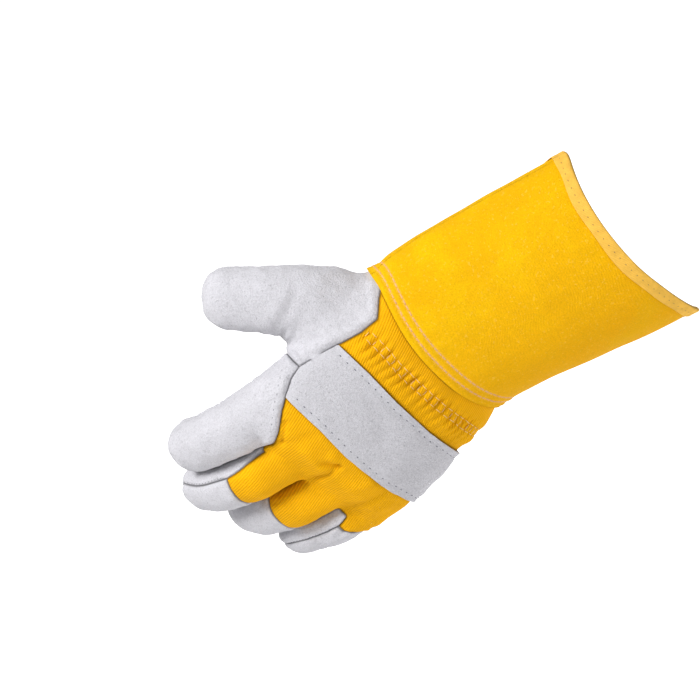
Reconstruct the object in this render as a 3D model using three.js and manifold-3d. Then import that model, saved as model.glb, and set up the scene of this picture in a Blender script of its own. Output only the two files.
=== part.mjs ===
// Left-hand rigger glove, held as it is worn. Millimetres: +X from the fingers to the cuff,
// +Z towards the thumb side, -Y out of the back of the hand. The origin is the middle of the wrist.
import * as THREE from 'three';
import * as BufferGeometryUtils from 'three/addons/utils/BufferGeometryUtils.js';
import Module from 'manifold-3d';

const wasm = await Module();
wasm.setup();

// Hand and wrist
const palmLength = 88;
const handWidth = 112;
const handDepth = 52;
const wristWidth = 104;
const wristDepth = 56;
const wristLap = 20;

// Fingers and thumb
const fingerLength = 104;
const fingerWidth = 31;
const fingerDepth = 30;
const fingerTipRound = 14;
const thumbLength = 62;
const thumbWidth = 36;
const thumbDepth = 34;
const thumbTipRound = 16;

// Gauntlet cuff
const cuffLength = 118;
const mouthWidth = 123;
const mouthDepth = 82;
const mouthTurn = 6;
const mouthDip = 17;
const hemDip = 14;
const hemSkew = 3;
const bindingWidth = 6.5;
const hemStart = 12;

// Knuckle strap and gathered wrist
const strapWidth = 40;
const gatherRidges = 17;
const ridgeHeight = 1.4;

// Walls and clearances
const leatherWall = 1.6;
const strapWall = 1.4;
const canvasWall = 1.3;
const bindingWall = 0.9;
const seamGap = 0.35;

// How far cutting blocks reach past what they cut, and one over its neighbour at a root
const cutReach = 60;
const rootOverlap = 4;

const yellowDrill = { color: 0xf2b211, roughness: 0.85, metalness: 0 };
const yellowCanvas = { color: 0xf6bb22, roughness: 0.6, metalness: 0 };
const greySuede = { color: 0xc9c8d0, roughness: 0.95, metalness: 0 };

const radians = THREE.MathUtils.degToRad;
const lerp = THREE.MathUtils.lerp;

// Sections of the hand from the cuff end to the finger roots. at is a share of the lap and palm
// together. wrist mixes the wrist's size (1) with the hand's (0); width and depth are shares of
// that size. side and rise move the middle, as shares of handWidth and handDepth. cup hollows
// the palm and gather raises the wrist's ridges, both as shares.
const handSections = [
  { at: 0.0, wrist: 1, width: 0.965, depth: 1.0, side: 0.0, rise: 0.0, cup: 0, gather: 0 },
  { at: 0.13, wrist: 1, width: 0.99, depth: 1.0, side: -0.01, rise: 0.0, cup: 0, gather: 0 },
  { at: 0.2, wrist: 1, width: 1.02, depth: 0.99, side: -0.015, rise: 0.0, cup: 0, gather: 0 },
  { at: 0.25, wrist: 1, width: 1.03, depth: 0.93, side: -0.015, rise: 0.0, cup: 0.02, gather: 0.8 },
  { at: 0.29, wrist: 1, width: 1.04, depth: 0.92, side: -0.01, rise: 0.0, cup: 0.04, gather: 1 },
  { at: 0.34, wrist: 1, width: 1.06, depth: 0.94, side: -0.01, rise: 0.0, cup: 0.06, gather: 0.6 },
  { at: 0.4, wrist: 0.4, width: 1.0, depth: 1.0, side: 0.01, rise: 0.0, cup: 0.1, gather: 0 },
  { at: 0.6, wrist: 0, width: 1.0, depth: 1.0, side: 0.022, rise: 0.0, cup: 0.16, gather: 0 },
  { at: 0.79, wrist: 0, width: 0.97, depth: 0.92, side: 0.036, rise: 0.0, cup: 0.1, gather: 0 },
  { at: 0.95, wrist: 0, width: 0.94, depth: 0.75, side: 0.038, rise: 0.05, cup: 0, gather: 0 },
  { at: 1.02, wrist: 0, width: 0.95, depth: 0.5, side: 0.025, rise: 0.1, cup: 0, gather: 0 },
  { at: 1.05, wrist: 0, width: 0.92, depth: 0.26, side: 0.025, rise: 0.12, cup: 0, gather: 0 },
];

// Sections along a digit: at is a share of its whole length, width and depth of its own sizes.
// shift moves the section across its middle line, as a share of its width.
const fingerSections = [
  { at: 0, width: 0.8, depth: 0.86, shift: 0 },
  { at: 0.2, width: 1, depth: 1, shift: 0 },
  { at: 0.55, width: 1, depth: 1, shift: 0 },
  { at: 0.85, width: 0.97, depth: 0.93, shift: 0 },
  { at: 1, width: 0.86, depth: 0.78, shift: 0 },
];
const thumbSections = [
  { at: 0, width: 1.22, depth: 0.9, shift: -0.28 },
  { at: 0.18, width: 1.4, depth: 1.05, shift: -0.19 },
  { at: 0.36, width: 1.26, depth: 1.02, shift: -0.1 },
  { at: 0.5, width: 1.02, depth: 0.96, shift: 0 },
  { at: 0.85, width: 0.93, depth: 0.84, shift: 0 },
  { at: 1, width: 0.84, depth: 0.7, shift: 0 },
];

// The digits. root is a share of palmLength, side of handWidth and rise of handDepth; lean turns
// the digit towards the thumb side, bends curl it to the palm, all in degrees; buried is the
// stretch inside the hand. back ends the cotton on its back, as a share of its length, and
// backSide on its thumb side, as a share of half its width.
const digits = {
  index: {
    root: 0.73, side: 0.425, rise: 0, lean: 6, bends: [22, 19, 12], joints: [0, 0.45, 0.74],
    length: 0.8 * fingerLength, width: fingerWidth, depth: fingerDepth,
    tipRound: fingerTipRound, buried: 20, sections: fingerSections, back: 1, backSide: 1,
  },
  middle: {
    root: 0.77, side: 0.152, rise: -0.04, lean: 7, bends: [23, 23, 15], joints: [0, 0.45, 0.74],
    length: fingerLength, width: 0.98 * fingerWidth, depth: fingerDepth,
    tipRound: fingerTipRound, buried: 20, sections: fingerSections, back: 0.56, backSide: 1,
  },
  ring: {
    root: 0.77, side: -0.125, rise: -0.04, lean: 7, bends: [25, 23, 16], joints: [0, 0.45, 0.74],
    length: 0.955 * fingerLength, width: 0.955 * fingerWidth, depth: 0.97 * fingerDepth,
    tipRound: fingerTipRound, buried: 20, sections: fingerSections, back: 0.56, backSide: 1,
  },
  little: {
    root: 0.75, side: -0.35, rise: 0.04, lean: 6, bends: [21, 19, 14], joints: [0, 0.45, 0.74],
    length: 0.79 * fingerLength, width: 0.9 * fingerWidth, depth: 0.92 * fingerDepth,
    tipRound: fingerTipRound, buried: 20, sections: fingerSections, back: 0.43, backSide: 0.45,
  },
  thumb: {
    root: 0.17, side: 0.58, rise: 0.23, lean: 50, bends: [8, 10, 6], joints: [0, 0.41, 0.75],
    length: thumbLength, width: thumbWidth, depth: thumbDepth,
    tipRound: thumbTipRound, buried: 28, sections: thumbSections, back: 1, backSide: 1,
  },
};

// Sections of the cuff from its hem (0) to its mouth (1). grow mixes the hem's size with the
// mouth's, and shift moves the middle to the little-finger side, as a share of cuffLength.
// square is the section's squareness: 2 is an ellipse, and less gives it sharper sides.
const cuffSections = [
  { at: 0, grow: 0, deepen: 0, shift: 0.0, rise: 0, square: 2.35 },
  { at: 0.12, grow: 0.34, deepen: 0.1, shift: 0.02, rise: 0.01, square: 2.35 },
  { at: 0.27, grow: 0.5, deepen: 0.25, shift: 0.067, rise: 0.02, square: 2.35 },
  { at: 0.5, grow: 0.66, deepen: 0.45, shift: 0.161, rise: 0.04, square: 2.3 },
  { at: 0.8, grow: 0.94, deepen: 0.78, shift: 0.287, rise: 0.065, square: 2.25 },
  { at: 1, grow: 1, deepen: 1, shift: 0.365, rise: 0.08, square: 2.12 },
];

// Seams on the back of the hand. along is a share of palmLength from the wrist to the fingers,
// and across of half the handWidth towards the thumb.
const wingSeam = [
  { along: -0.3, across: 0.97 },
  { along: -0.1, across: 0.85 },
  { along: 0.0, across: 0.76 },
  { along: 0.125, across: 0.79 },
  { along: 0.27, across: 0.875 },
  { along: 0.4, across: 0.94 },
  { along: 0.534, across: 1.0 },
];
const indexSeam = [
  { along: 0.534, across: 1.0 },
  { along: 0.62, across: 0.99 },
  { along: 0.725, across: 0.935 },
  { along: 0.81, across: 0.865 },
  { along: 0.93, across: 0.73 },
  { along: 1.07, across: 0.59 },
];
// The strap's end on the thumb side, sewn into both seams, and its long edges across the
// knuckles: its middle line and its width there, as a share of strapWidth.
const strapEnd = [...indexSeam.slice(0, 3).reverse(), ...wingSeam.slice(4, 6).reverse()];
const strapLine = [
  { across: 0.5, middle: 0.515, narrow: 1 },
  { across: 0.1, middle: 0.54, narrow: 1.0 },
  { across: -0.4, middle: 0.55, narrow: 0.98 },
  { across: -1.6, middle: 0.5, narrow: 0.9 },
];

// Heights of the seams between backs and fronts, as shares of half the depth there. Minus is
// towards the back of the hand, as y is; for a digit it is measured from its own middle line.
const handSeam = 0.08;
const fingerSeam = -0.4;
const indexSideSeam = 0.6;
const indexFrontSeam = 0.3;
const thumbSideSeam = 0.12;

// Finger roots, where the set-in fronts begin, as a share of palmLength
const frontRoot = 1.08;

const anglesPerRidge = 3;
const palmAngles = 12;
const innerAngles = 20;
const digitAngles = 14;
const digitInnerAngles = 12;
const digitStep = 15;
const cuffAngles = 34;
const squareness = 2.35;

// Angles round a section: 0 on the thumb side, a quarter turn at the back of the hand.
function evenAngles(count) {
  return Array.from({ length: count }, (_, i) => (2 * Math.PI * i) / count);
}

function handAngles() {
  const backAngles = gatherRidges * anglesPerRidge;
  const back = Array.from({ length: backAngles }, (_, i) => (Math.PI * i) / backAngles);
  const palm = Array.from({ length: palmAngles }, (_, i) => Math.PI * (1 + i / palmAngles));
  return [...back, ...palm];
}

// A superellipse of half size one: [across, back] at an angle.
function rounded(angle, square = squareness) {
  const power = 2 / square;
  const across = Math.sign(Math.cos(angle)) * Math.abs(Math.cos(angle)) ** power;
  const back = Math.sign(Math.sin(angle)) * Math.abs(Math.sin(angle)) ** power;
  return [across, back];
}

// Value of every column of a table at a place between its rows.
function rowAt(table, at) {
  const last = table.findIndex((row) => row.at >= at);
  if (last < 0) return table.at(-1);
  if (last === 0) return table[0];
  const from = table[last - 1];
  const to = table[last];
  const share = (at - from.at) / (to.at - from.at);
  return Object.fromEntries(Object.keys(to).map((key) => [key, lerp(from[key], to[key], share)]));
}

// A closed surface through rings of points. A looped one joins its last ring to its first, as a
// tube's wall does; any other is closed by a fan at each end.
function loft(rings, looped = false) {
  const count = rings[0].length;
  const points = rings.flat();
  const faces = [];
  const bands = looped ? rings.length : rings.length - 1;
  for (let band = 0; band < bands; band += 1) {
    const near = band * count;
    const far = ((band + 1) % rings.length) * count;
    for (let i = 0; i < count; i += 1) {
      const j = (i + 1) % count;
      faces.push(near + i, far + j, near + j);
      faces.push(near + i, far + i, far + j);
    }
  }
  if (!looped) {
    for (const [ring, start, turned] of [[rings[0], 0, false], [rings.at(-1), bands * count, true]]) {
      const middle = new THREE.Vector3();
      ring.forEach((point) => middle.addScaledVector(point, 1 / count));
      points.push(middle);
      for (let i = 0; i < count; i += 1) {
        const edge = [start + i, start + ((i + 1) % count)];
        faces.push(points.length - 1, ...(turned ? edge.reverse() : edge));
      }
    }
  }
  const geometry = new THREE.BufferGeometry().setFromPoints(points);
  geometry.setIndex(faces);
  return geometry;
}

function solidOf(geometry) {
  return new wasm.Manifold(new wasm.Mesh({
    numProp: 3,
    vertProperties: new Float32Array(geometry.attributes.position.array),
    triVerts: new Uint32Array(geometry.index.array),
  }));
}

// The hand without its digits, grown outwards by a distance.
function handSolid(grow, { angles = handAngles(), open = 0 } = {}) {
  const rings = handSections.map((row, i) => {
    const size = {
      width: (lerp(handWidth, wristWidth, row.wrist) * row.width) / 2 + grow,
      depth: (lerp(handDepth, wristDepth, row.wrist) * row.depth) / 2 + grow,
    };
    const end = row.at > 1 ? grow : 0;
    const x = wristLap - row.at * (wristLap + palmLength) - end + (i === 0 ? open : 0);
    return angles.map((angle) => {
      const [across, back] = rounded(angle);
      const ridge = grow < 0 || back <= 0 ? 0 : (1 - Math.cos(2 * gatherRidges * angle)) / 2;
      const hollow = back < 0 ? 1 - row.cup * Math.sin(angle) ** 4 : 1;
      const deep = size.depth * back * hollow + row.gather * ridgeHeight * ridge * Math.sin(angle);
      return new THREE.Vector3(
        x,
        row.rise * handDepth - deep,
        row.side * handWidth + size.width * across,
      );
    });
  });
  return solidOf(loft(rings));
}

// Middle line of a digit as stations every 2 mm: a place, the way on, across and out of the back.
function digitLine(digit) {
  const lean = radians(digit.lean);
  const ahead = new THREE.Vector3(-Math.cos(lean), 0, Math.sin(lean));
  const across = new THREE.Vector3(Math.sin(lean), 0, Math.cos(lean));
  const palmward = new THREE.Vector3(0, 1, 0);
  const knuckle = 16;
  const step = 2;
  const place = new THREE.Vector3(
    -digit.root * palmLength,
    digit.rise * handDepth,
    digit.side * handWidth,
  ).addScaledVector(ahead, -digit.buried);
  const stations = [];
  for (let s = -digit.buried; s < digit.length + cutReach; s += step) {
    const curl = digit.bends.reduce((sum, bend, i) => {
      const past = (s + step / 2 - digit.joints[i] * digit.length) / knuckle + 0.5;
      return sum + radians(bend) * THREE.MathUtils.smoothstep(past, 0, 1);
    }, 0);
    const way = ahead.clone().multiplyScalar(Math.cos(curl)).addScaledVector(palmward, Math.sin(curl));
    const back = ahead.clone().multiplyScalar(Math.sin(curl));
    back.addScaledVector(palmward, -Math.cos(curl));
    stations.push({ s, place: place.clone(), across, back });
    place.addScaledVector(way, step);
  }
  return stations;
}

// Station at a distance from the digit's root, between the two nearest.
function stationAt(stations, s) {
  const step = stations[1].s - stations[0].s;
  const reach = Math.max(0, Math.min(stations.length - 1.001, (s - stations[0].s) / step));
  const from = stations[Math.floor(reach)];
  const to = stations[Math.floor(reach) + 1];
  const share = reach - Math.floor(reach);
  return {
    place: from.place.clone().lerp(to.place, share),
    across: from.across,
    back: from.back.clone().lerp(to.back, share).normalize(),
  };
}

// Distances along a digit's tube, from its buried end to where its tip begins to round.
function tubeStops(digit) {
  const end = digit.length - digit.tipRound;
  const steps = Math.round((end + digit.buried) / digitStep);
  return Array.from({ length: steps + 1 }, (_, i) => lerp(-digit.buried, end, i / steps));
}

// One digit: a tube along its middle line that closes in a round tip.
function digitSolid(digit, grow, angles = digitAngles) {
  const line = digitLine(digit);
  const end = digit.length + grow;
  const round = digit.tipRound + grow;
  const whole = digit.length + digit.buried;
  const [start, ...tube] = tubeStops(digit);
  const tip = [0.45, 0.78, 0.96].map((share) => end - round * (1 - share));
  const rings = [start - grow, ...tube, ...tip].map((s) => {
    const station = stationAt(line, s);
    const row = rowAt(digit.sections, Math.min(1, (s + digit.buried) / whole));
    const closing = Math.sqrt(1 - Math.max(0, (s - end + round) / round) ** 2.2);
    const width = ((digit.width * row.width) / 2 + grow) * closing;
    const depth = ((digit.depth * row.depth) / 2 + grow) * closing;
    return evenAngles(angles).map((angle) => {
      const [across, back] = rounded(angle);
      return station.place.clone()
        .addScaledVector(station.across, width * across + row.shift * digit.width)
        .addScaledVector(station.back, depth * back);
    });
  });
  return solidOf(loft(rings));
}

// The whole hand with its digits, grown outwards by a distance.
function gloveForm(grow) {
  return Object.values(digits).reduce(
    (form, digit) => form.add(digitSolid(digit, grow)),
    handSolid(grow),
  );
}

function gloveHollow() {
  return Object.values(digits).reduce(
    (form, digit) => form.add(digitSolid(digit, -leatherWall, digitInnerAngles)),
    handSolid(-leatherWall, { angles: evenAngles(innerAngles), open: cutReach }),
  );
}

// A block that follows a digit from one distance to another. low and high are heights out of its
// back, side and far its reach on the thumb side and the other. grow adds to every side.
function digitBlock(digit, { from, to, low, high, side, far = side }, grow) {
  const line = digitLine(digit);
  const inside = tubeStops(digit).filter((s) => s > from + 1 && s < to - 1);
  const beyond = to > digit.length ? [digit.length] : [];
  const rings = [from - grow, ...inside, ...beyond, to + grow].map((s) => {
    const station = stationAt(line, s);
    const [right, left] = [side + grow, -far - grow];
    const [bottom, top] = [low - grow, high + grow];
    const corners = [[right, bottom], [right, top], [left, top], [left, bottom]];
    return corners.map(([across, back]) => station.place.clone()
      .addScaledVector(station.across, across)
      .addScaledVector(station.back, back));
  });
  return solidOf(loft(rings));
}

// Corners of an outline moved outwards by a distance, with mitred corners.
function grownOutline(points, grow) {
  const turn = THREE.ShapeUtils.isClockWise(points) ? -1 : 1;
  const outward = (from, to) => {
    const way = to.clone().sub(from).normalize();
    return new THREE.Vector2(way.y, -way.x).multiplyScalar(turn);
  };
  return points.map((point, i) => {
    const before = outward(points.at(i - 1), point);
    const after = outward(point, points[(i + 1) % points.length]);
    const mitre = grow / (1 + before.dot(after));
    return point.clone().addScaledVector(before.add(after), mitre);
  });
}

// A block whose outline lies along the hand, between two heights.
function handBlock(outline, low, high, grow) {
  const points = outline.map(({ along, across }) => (
    new THREE.Vector2(-along * palmLength, (across * handWidth) / 2)
  ));
  const shape = new THREE.Shape(grownOutline(points, grow));
  const depth = high - low + 2 * grow;
  const block = new THREE.ExtrudeGeometry(shape, { depth, bevelEnabled: false });
  block.deleteAttribute('normal');
  block.deleteAttribute('uv');
  block.rotateX(Math.PI / 2);
  block.translate(0, high + grow, 0);
  return solidOf(BufferGeometryUtils.mergeVertices(block));
}

const past = 1.9;
const wristEnd = -(wristLap + cutReach / 4) / palmLength;

// Each region takes its share of the wall. The gap to the next piece comes from growing it.
function thumbRegion(grow) {
  const { thumb } = digits;
  const low = (thumbSideSeam * thumb.depth) / 2;
  const outline = [
    { along: wristEnd, across: wingSeam[0].across },
    ...wingSeam.slice(1),
    { along: wingSeam.at(-1).along, across: past },
    { along: wristEnd, across: past },
  ];
  const hand = handBlock(outline, -cutReach, thumb.rise * handDepth + low, grow);
  const side = 0.64 * thumb.width;
  const span = { from: 0, to: thumb.length + cutReach / 3, low: -low, high: cutReach / 2, side };
  return hand.add(digitBlock(thumb, span, grow));
}

function indexRegion(grow) {
  const { index } = digits;
  const low = (indexSideSeam * index.depth) / 2;
  const front = (indexFrontSeam * index.depth) / 2;
  const end = indexSeam.at(-1).along;
  const outline = [
    ...indexSeam,
    { along: end, across: past },
    { along: indexSeam[0].along, across: past },
  ];
  const hand = handBlock(outline, -cutReach, index.rise * handDepth + low / 2, grow);
  const from = (end - index.root) * palmLength - rootOverlap;
  const side = index.width / 2 + seamGap;
  const high = cutReach / 2;
  const root = { from: 0, to: from + 1, low: -low, high, side, far: -side / 4 };
  const rest = { from, to: index.length + cutReach / 3, low: -front, high, side };
  return hand.add(digitBlock(index, root, grow)).add(digitBlock(index, rest, grow));
}

// Back of a finger between two shares of its length. side is its reach to the thumb side, as a
// share of half the finger's width.
function fingerBack(digit, fromShare, toShare, side, grow) {
  const half = digit.width / 2;
  const span = {
    from: fromShare * digit.length,
    to: toShare * digit.length,
    low: (-fingerSeam * digit.depth) / 2,
    high: cutReach / 2,
    side: side * half + seamGap,
    far: half + seamGap,
  };
  return digitBlock(digit, span, grow);
}

function backRegion(grow) {
  const { middle, ring, little } = digits;
  const end = frontRoot - 0.005;
  const outline = [
    { along: wristEnd, across: 1.3 },
    { along: end, across: 1.3 },
    { along: end, across: -past },
    { along: wristEnd, across: -past },
  ];
  const hand = handBlock(outline, -cutReach, (handSeam * handDepth) / 2, grow);
  return [middle, ring, little].reduce(
    (region, digit) => region.add(fingerBack(digit, 0.22, digit.back, digit.backSide, grow)),
    hand,
  );
}

function tipRegion(digit, grow) {
  return fingerBack(digit, digit.back, 1 + cutReach / (3 * digit.length), 1, grow);
}

function frontRegion(digit, grow) {
  const from = (frontRoot - digit.root) * palmLength;
  const reach = cutReach / 3;
  const side = digit.width / 2 + seamGap;
  const span = { from, to: digit.length + reach, low: -reach, high: reach, side };
  return digitBlock(digit, span, grow);
}

function strapSolid() {
  const half = strapWidth / 2 / palmLength;
  const upper = strapLine.map(({ across, middle, narrow }) => (
    { across, along: middle - half * narrow }
  ));
  const lower = strapLine.map(({ across, middle, narrow }) => (
    { across, along: middle + half * narrow }
  ));
  const outline = [...upper, ...lower.reverse(), ...strapEnd];
  const block = handBlock(outline, -cutReach, (handSeam * handDepth) / 2, 0);
  return gloveForm(seamGap + strapWall).subtract(gloveForm(seamGap)).intersect(block);
}

// Point of the cuff's middle surface at a share of its length and an angle, moved outwards.
function cuffPoint(at, angle, out) {
  const row = rowAt(cuffSections, at);
  const hem = seamGap + canvasWall / 2;
  const width = lerp(wristWidth / 2 + hem, mouthWidth / 2, row.grow) + out;
  const depth = lerp(wristDepth / 2 + hem, mouthDepth / 2, row.deepen) + out;
  const [across, back] = rounded(angle, row.square);
  const turn = radians(mouthTurn) * row.deepen;
  const scoop = Math.abs(Math.sin(angle)) * (1 + 0.27 * Math.cos(angle));
  const farSide = back < 0 ? 1.5 : 1;
  const dip = row.deepen * mouthDip * farSide * scoop;
  const skew = (1 - row.deepen) * hemSkew * across;
  const bulge = (1 - row.deepen) * hemDip * (back > 0 ? Math.sin(angle) ** 2 : 0);
  return new THREE.Vector3(
    hemStart + skew + at * cuffLength - dip - bulge + width * across * Math.sin(turn),
    -row.rise * cuffLength - depth * back,
    -row.shift * cuffLength + width * across * Math.cos(turn),
  );
}

function cuffRing(at, out) {
  return evenAngles(cuffAngles).map((angle) => cuffPoint(at, angle, out));
}

function cuffSolid() {
  const half = canvasWall / 2;
  const ats = cuffSections.map((row) => row.at);
  const outer = [...ats].reverse().map((at) => cuffRing(at, half));
  const inner = ats.map((at) => cuffRing(at, -half));
  return solidOf(loft([...outer, ...inner], true)).subtract(gloveForm(seamGap));
}

// The binding's section is a U over the cuff's edge: [distance past the edge, distance out].
function bindingSolid() {
  const inside = canvasWall / 2 + seamGap;
  const outside = inside + bindingWall;
  const fold = seamGap + bindingWall;
  const section = [
    [fold, outside], [-bindingWidth, outside], [-bindingWidth, inside], [seamGap, inside],
    [seamGap, -inside], [-bindingWidth, -inside], [-bindingWidth, -outside], [fold, -outside],
  ];
  const rings = section.map(([pastEdge, out]) => cuffRing(1 + pastEdge / cuffLength, out));
  return solidOf(loft(rings, true));
}

const wall = gloveForm(0).subtract(gloveHollow());

// Cuts the wall into its pieces in order, each clear of the ones before it.
function cutPieces() {
  const { middle, ring, little } = digits;
  const regions = [
    ['thumb_back', thumbRegion],
    ['index_back', indexRegion],
    ['back_panel', backRegion],
    ['middle_tip', (grow) => tipRegion(middle, grow)],
    ['ring_tip', (grow) => tipRegion(ring, grow)],
    ['little_tip', (grow) => tipRegion(little, grow)],
    ['middle_front', (grow) => frontRegion(middle, grow)],
    ['ring_front', (grow) => frontRegion(ring, grow)],
  ];
  const pieces = {};
  let rest = wall;
  for (const [name, region] of regions) {
    pieces[name] = rest.intersect(region(0));
    rest = rest.subtract(region(seamGap));
  }
  pieces.palm = rest;
  return pieces;
}

// A named mesh of a solid's largest body: crumbs that a cut leaves at a seam are dropped.
function piece(name, solid, finish) {
  const [body] = solid.decompose().sort((a, b) => b.volume() - a.volume());
  const { vertProperties, triVerts } = body.getMesh();
  const geometry = new THREE.BufferGeometry();
  geometry.setAttribute('position', new THREE.BufferAttribute(vertProperties, 3));
  geometry.setIndex(new THREE.BufferAttribute(triVerts, 1));
  geometry.computeVertexNormals();
  const mesh = new THREE.Mesh(geometry, new THREE.MeshStandardMaterial(finish));
  mesh.name = name;
  return mesh;
}

const glove = new THREE.Group();
for (const [name, solid] of Object.entries(cutPieces())) {
  glove.add(piece(name, solid, name === 'back_panel' ? yellowDrill : greySuede));
}
glove.add(piece('knuckle_strap', strapSolid(), greySuede));
glove.add(piece('gauntlet_cuff', cuffSolid(), yellowCanvas));
glove.add(piece('cuff_binding', bindingSolid(), yellowCanvas));

export default glove;
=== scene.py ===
"""Left-hand rigger glove: split leather palm, cotton drill back, knuckle strap, gauntlet cuff.

Lengths are in millimetres in the working and in metres in the finished meshes. +X runs from the
fingers to the cuff, +Z to the thumb side and -Y out of the back of the hand.
"""

import bpy
import numpy as np
from bpy.props import FloatProperty, FloatVectorProperty, PointerProperty
from mathutils import Matrix, Vector
from mathutils.bvhtree import BVHTree


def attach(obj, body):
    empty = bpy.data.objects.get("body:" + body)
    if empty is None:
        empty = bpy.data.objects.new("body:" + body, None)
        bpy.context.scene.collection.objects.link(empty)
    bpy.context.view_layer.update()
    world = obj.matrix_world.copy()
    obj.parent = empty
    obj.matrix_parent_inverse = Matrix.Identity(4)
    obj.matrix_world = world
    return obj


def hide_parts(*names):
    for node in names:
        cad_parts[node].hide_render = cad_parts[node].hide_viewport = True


bl_info = {
    "name": "Rigger glove",
    "version": (1, 0, 0),
    "blender": (4, 5, 0),
    "location": "View3D > Sidebar > Glove",
    "description": "Builds a left-hand rigger glove over its packed frame",
    "category": "Add Mesh",
}

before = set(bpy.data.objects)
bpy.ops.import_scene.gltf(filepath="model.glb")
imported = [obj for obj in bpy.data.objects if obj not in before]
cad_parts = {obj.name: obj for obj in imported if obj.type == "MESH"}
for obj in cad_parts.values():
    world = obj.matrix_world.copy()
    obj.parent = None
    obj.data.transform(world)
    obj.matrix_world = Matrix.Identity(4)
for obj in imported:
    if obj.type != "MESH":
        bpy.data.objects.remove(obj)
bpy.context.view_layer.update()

MM = 0.001
PHOTO_SIDE = 700
# Where the middle of the lens lies off the photo's middle, in its pixels.
PHOTO_SHIFT = (-85.5, -10)

# Sections of the hand: at along it, mix of wrist size, width, depth, side, rise, cup.
HAND = np.array([
    (0.00, 1.0, 0.965, 1.00, 0.000, 0.00, 0.00),
    (0.13, 1.0, 0.990, 1.00, -0.010, 0.00, 0.00),
    (0.20, 1.0, 1.020, 0.99, -0.015, 0.00, 0.00),
    (0.25, 1.0, 1.030, 0.95, -0.015, 0.00, 0.02),
    (0.29, 1.0, 1.040, 0.94, -0.010, 0.00, 0.04),
    (0.34, 1.0, 1.060, 0.96, -0.010, 0.00, 0.06),
    (0.40, 0.4, 1.000, 1.00, 0.010, 0.00, 0.10),
    (0.60, 0.0, 1.000, 1.00, 0.022, 0.00, 0.16),
    (0.79, 0.0, 0.970, 0.92, 0.036, 0.00, 0.10),
    (0.95, 0.0, 0.940, 0.75, 0.038, 0.05, 0.00),
    (1.02, 0.0, 0.950, 0.50, 0.025, 0.10, 0.00),
    (1.05, 0.0, 0.920, 0.26, 0.025, 0.12, 0.00),
])
# Sections along a digit: at along it from its buried end, width, depth, shift across.
FINGER_SECTIONS = np.array([
    (0.00, 0.80, 0.86, 0.0),
    (0.20, 1.00, 1.00, 0.0),
    (0.55, 1.00, 1.00, 0.0),
    (0.85, 0.97, 0.93, 0.0),
    (1.00, 0.88, 0.80, 0.0),
])
THUMB_SECTIONS = np.array([
    (0.00, 1.22, 0.90, -0.28),
    (0.18, 1.40, 1.05, -0.19),
    (0.36, 1.26, 1.02, -0.10),
    (0.50, 1.02, 0.96, 0.0),
    (0.85, 0.93, 0.84, 0.0),
    (1.00, 0.86, 0.72, 0.0),
])
# What a kind of digit is made with: its sections, its joints as shares of its length, the
# rounding of its tip, the length buried in the hand, and how far round it the form is laid.
FINGER = dict(sections=FINGER_SECTIONS, joints=(0, 0.45, 0.74), tip=14, buried=20, reach=24)
THUMB = dict(sections=THUMB_SECTIONS, joints=(0, 0.41, 0.75), tip=16, buried=28, reach=34)
# How far the sections are softened, as shares of the hand's, a digit's and the cuff's length.
HAND_EASE, DIGIT_EASE, CUFF_EASE = 0.022, 0.06, 0.05
# Squareness of the sections: 2 is an ellipse.
HAND_SQUARE, DIGIT_SQUARE = 2.35, 2.25
# Rounding where forms join: the fingers with one another, with the hand, and the thumb's root.
FINGER_BLEND, ROOT_BLEND, THUMB_BLEND = 1.5, 7, 16
# Corners of the block of space that the form is laid in.
BLOCK = np.array([(-158, -34, -64), (24, 72, 124)], float)
# Digits, as in the frame: root along the palm, side and rise from its middle line, lean to the
# thumb side, bends to the palm, shares of the finger's length, width and depth, and the share
# of the length that the cotton covers on its back.
DIGITS = {
    "index": dict(root=0.73, side=0.425, rise=0.0, lean=6, bends=(22, 19, 12),
                  size=(0.8, 1.0, 1.0), cotton=1.0),
    "middle": dict(root=0.77, side=0.152, rise=-0.04, lean=7, bends=(23, 23, 15),
                   size=(1.0, 0.98, 1.0), cotton=0.545),
    "ring": dict(root=0.77, side=-0.125, rise=-0.04, lean=7, bends=(25, 23, 16),
                 size=(0.955, 0.955, 0.97), cotton=0.545),
    "little": dict(root=0.75, side=-0.35, rise=0.04, lean=6, bends=(21, 19, 14),
                   size=(0.79, 0.9, 0.92), cotton=0.43),
    "thumb": dict(root=0.17, side=0.58, rise=0.23, lean=50, bends=(8, 10, 6),
                  size=(1.0, 1.0, 1.0), cotton=1.0),
}
FINGERS = ("index", "middle", "ring", "little")
CAPPED = ("middle", "ring", "little")
# Seam of the leather on the back of the hand, past the thumb and the index finger: along the
# palm, across half the hand. The strap's end lies along it.
SEAM = np.array([(-0.30, 0.97), (-0.10, 0.85), (0.0, 0.76), (0.125, 0.79), (0.27, 0.875),
                 (0.40, 0.94), (0.534, 1.0), (0.62, 0.99), (0.725, 0.935), (0.81, 0.865),
                 (0.93, 0.73), (1.07, 0.59)])
# The strap's middle line: across half the hand, along the palm, width.
STRAP = np.array([(-1.6, 0.50, 0.90), (-0.4, 0.55, 0.98), (0.1, 0.54, 1.0), (0.5, 0.515, 1.0),
                  (1.0, 0.50, 1.0)])
# The elastic's middle line on the back of the wrist: z, x.
ELASTIC = np.array([(-48, -12.8), (-19, -14.2), (5, -13.6), (16, -13.0), (30, -10.8),
                    (46, -9.8)])
# Pitch of the puckers that the elastic draws up, and the bands beside it: place, half width,
# height.
PUCKER_PITCH = 5.2
ELASTIC_BANDS = ((0, 3.6, -0.6), (1.9, 0.8, -0.35), (7, 3, 0.45))
# Where the thumb's wing meets the back of the index finger, where the middle and ring fronts
# are set in, and how far to the palm the cotton and the strap reach.
WING_END, FRONT_SEAM, COTTON_EDGE = -47, -95, 2.1
# Creases across a digit's front at each joint: place from it and depth.
JOINT_CREASES = ((-4.0, 0.8), (1.5, 1.1), (6.0, 0.7))
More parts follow.
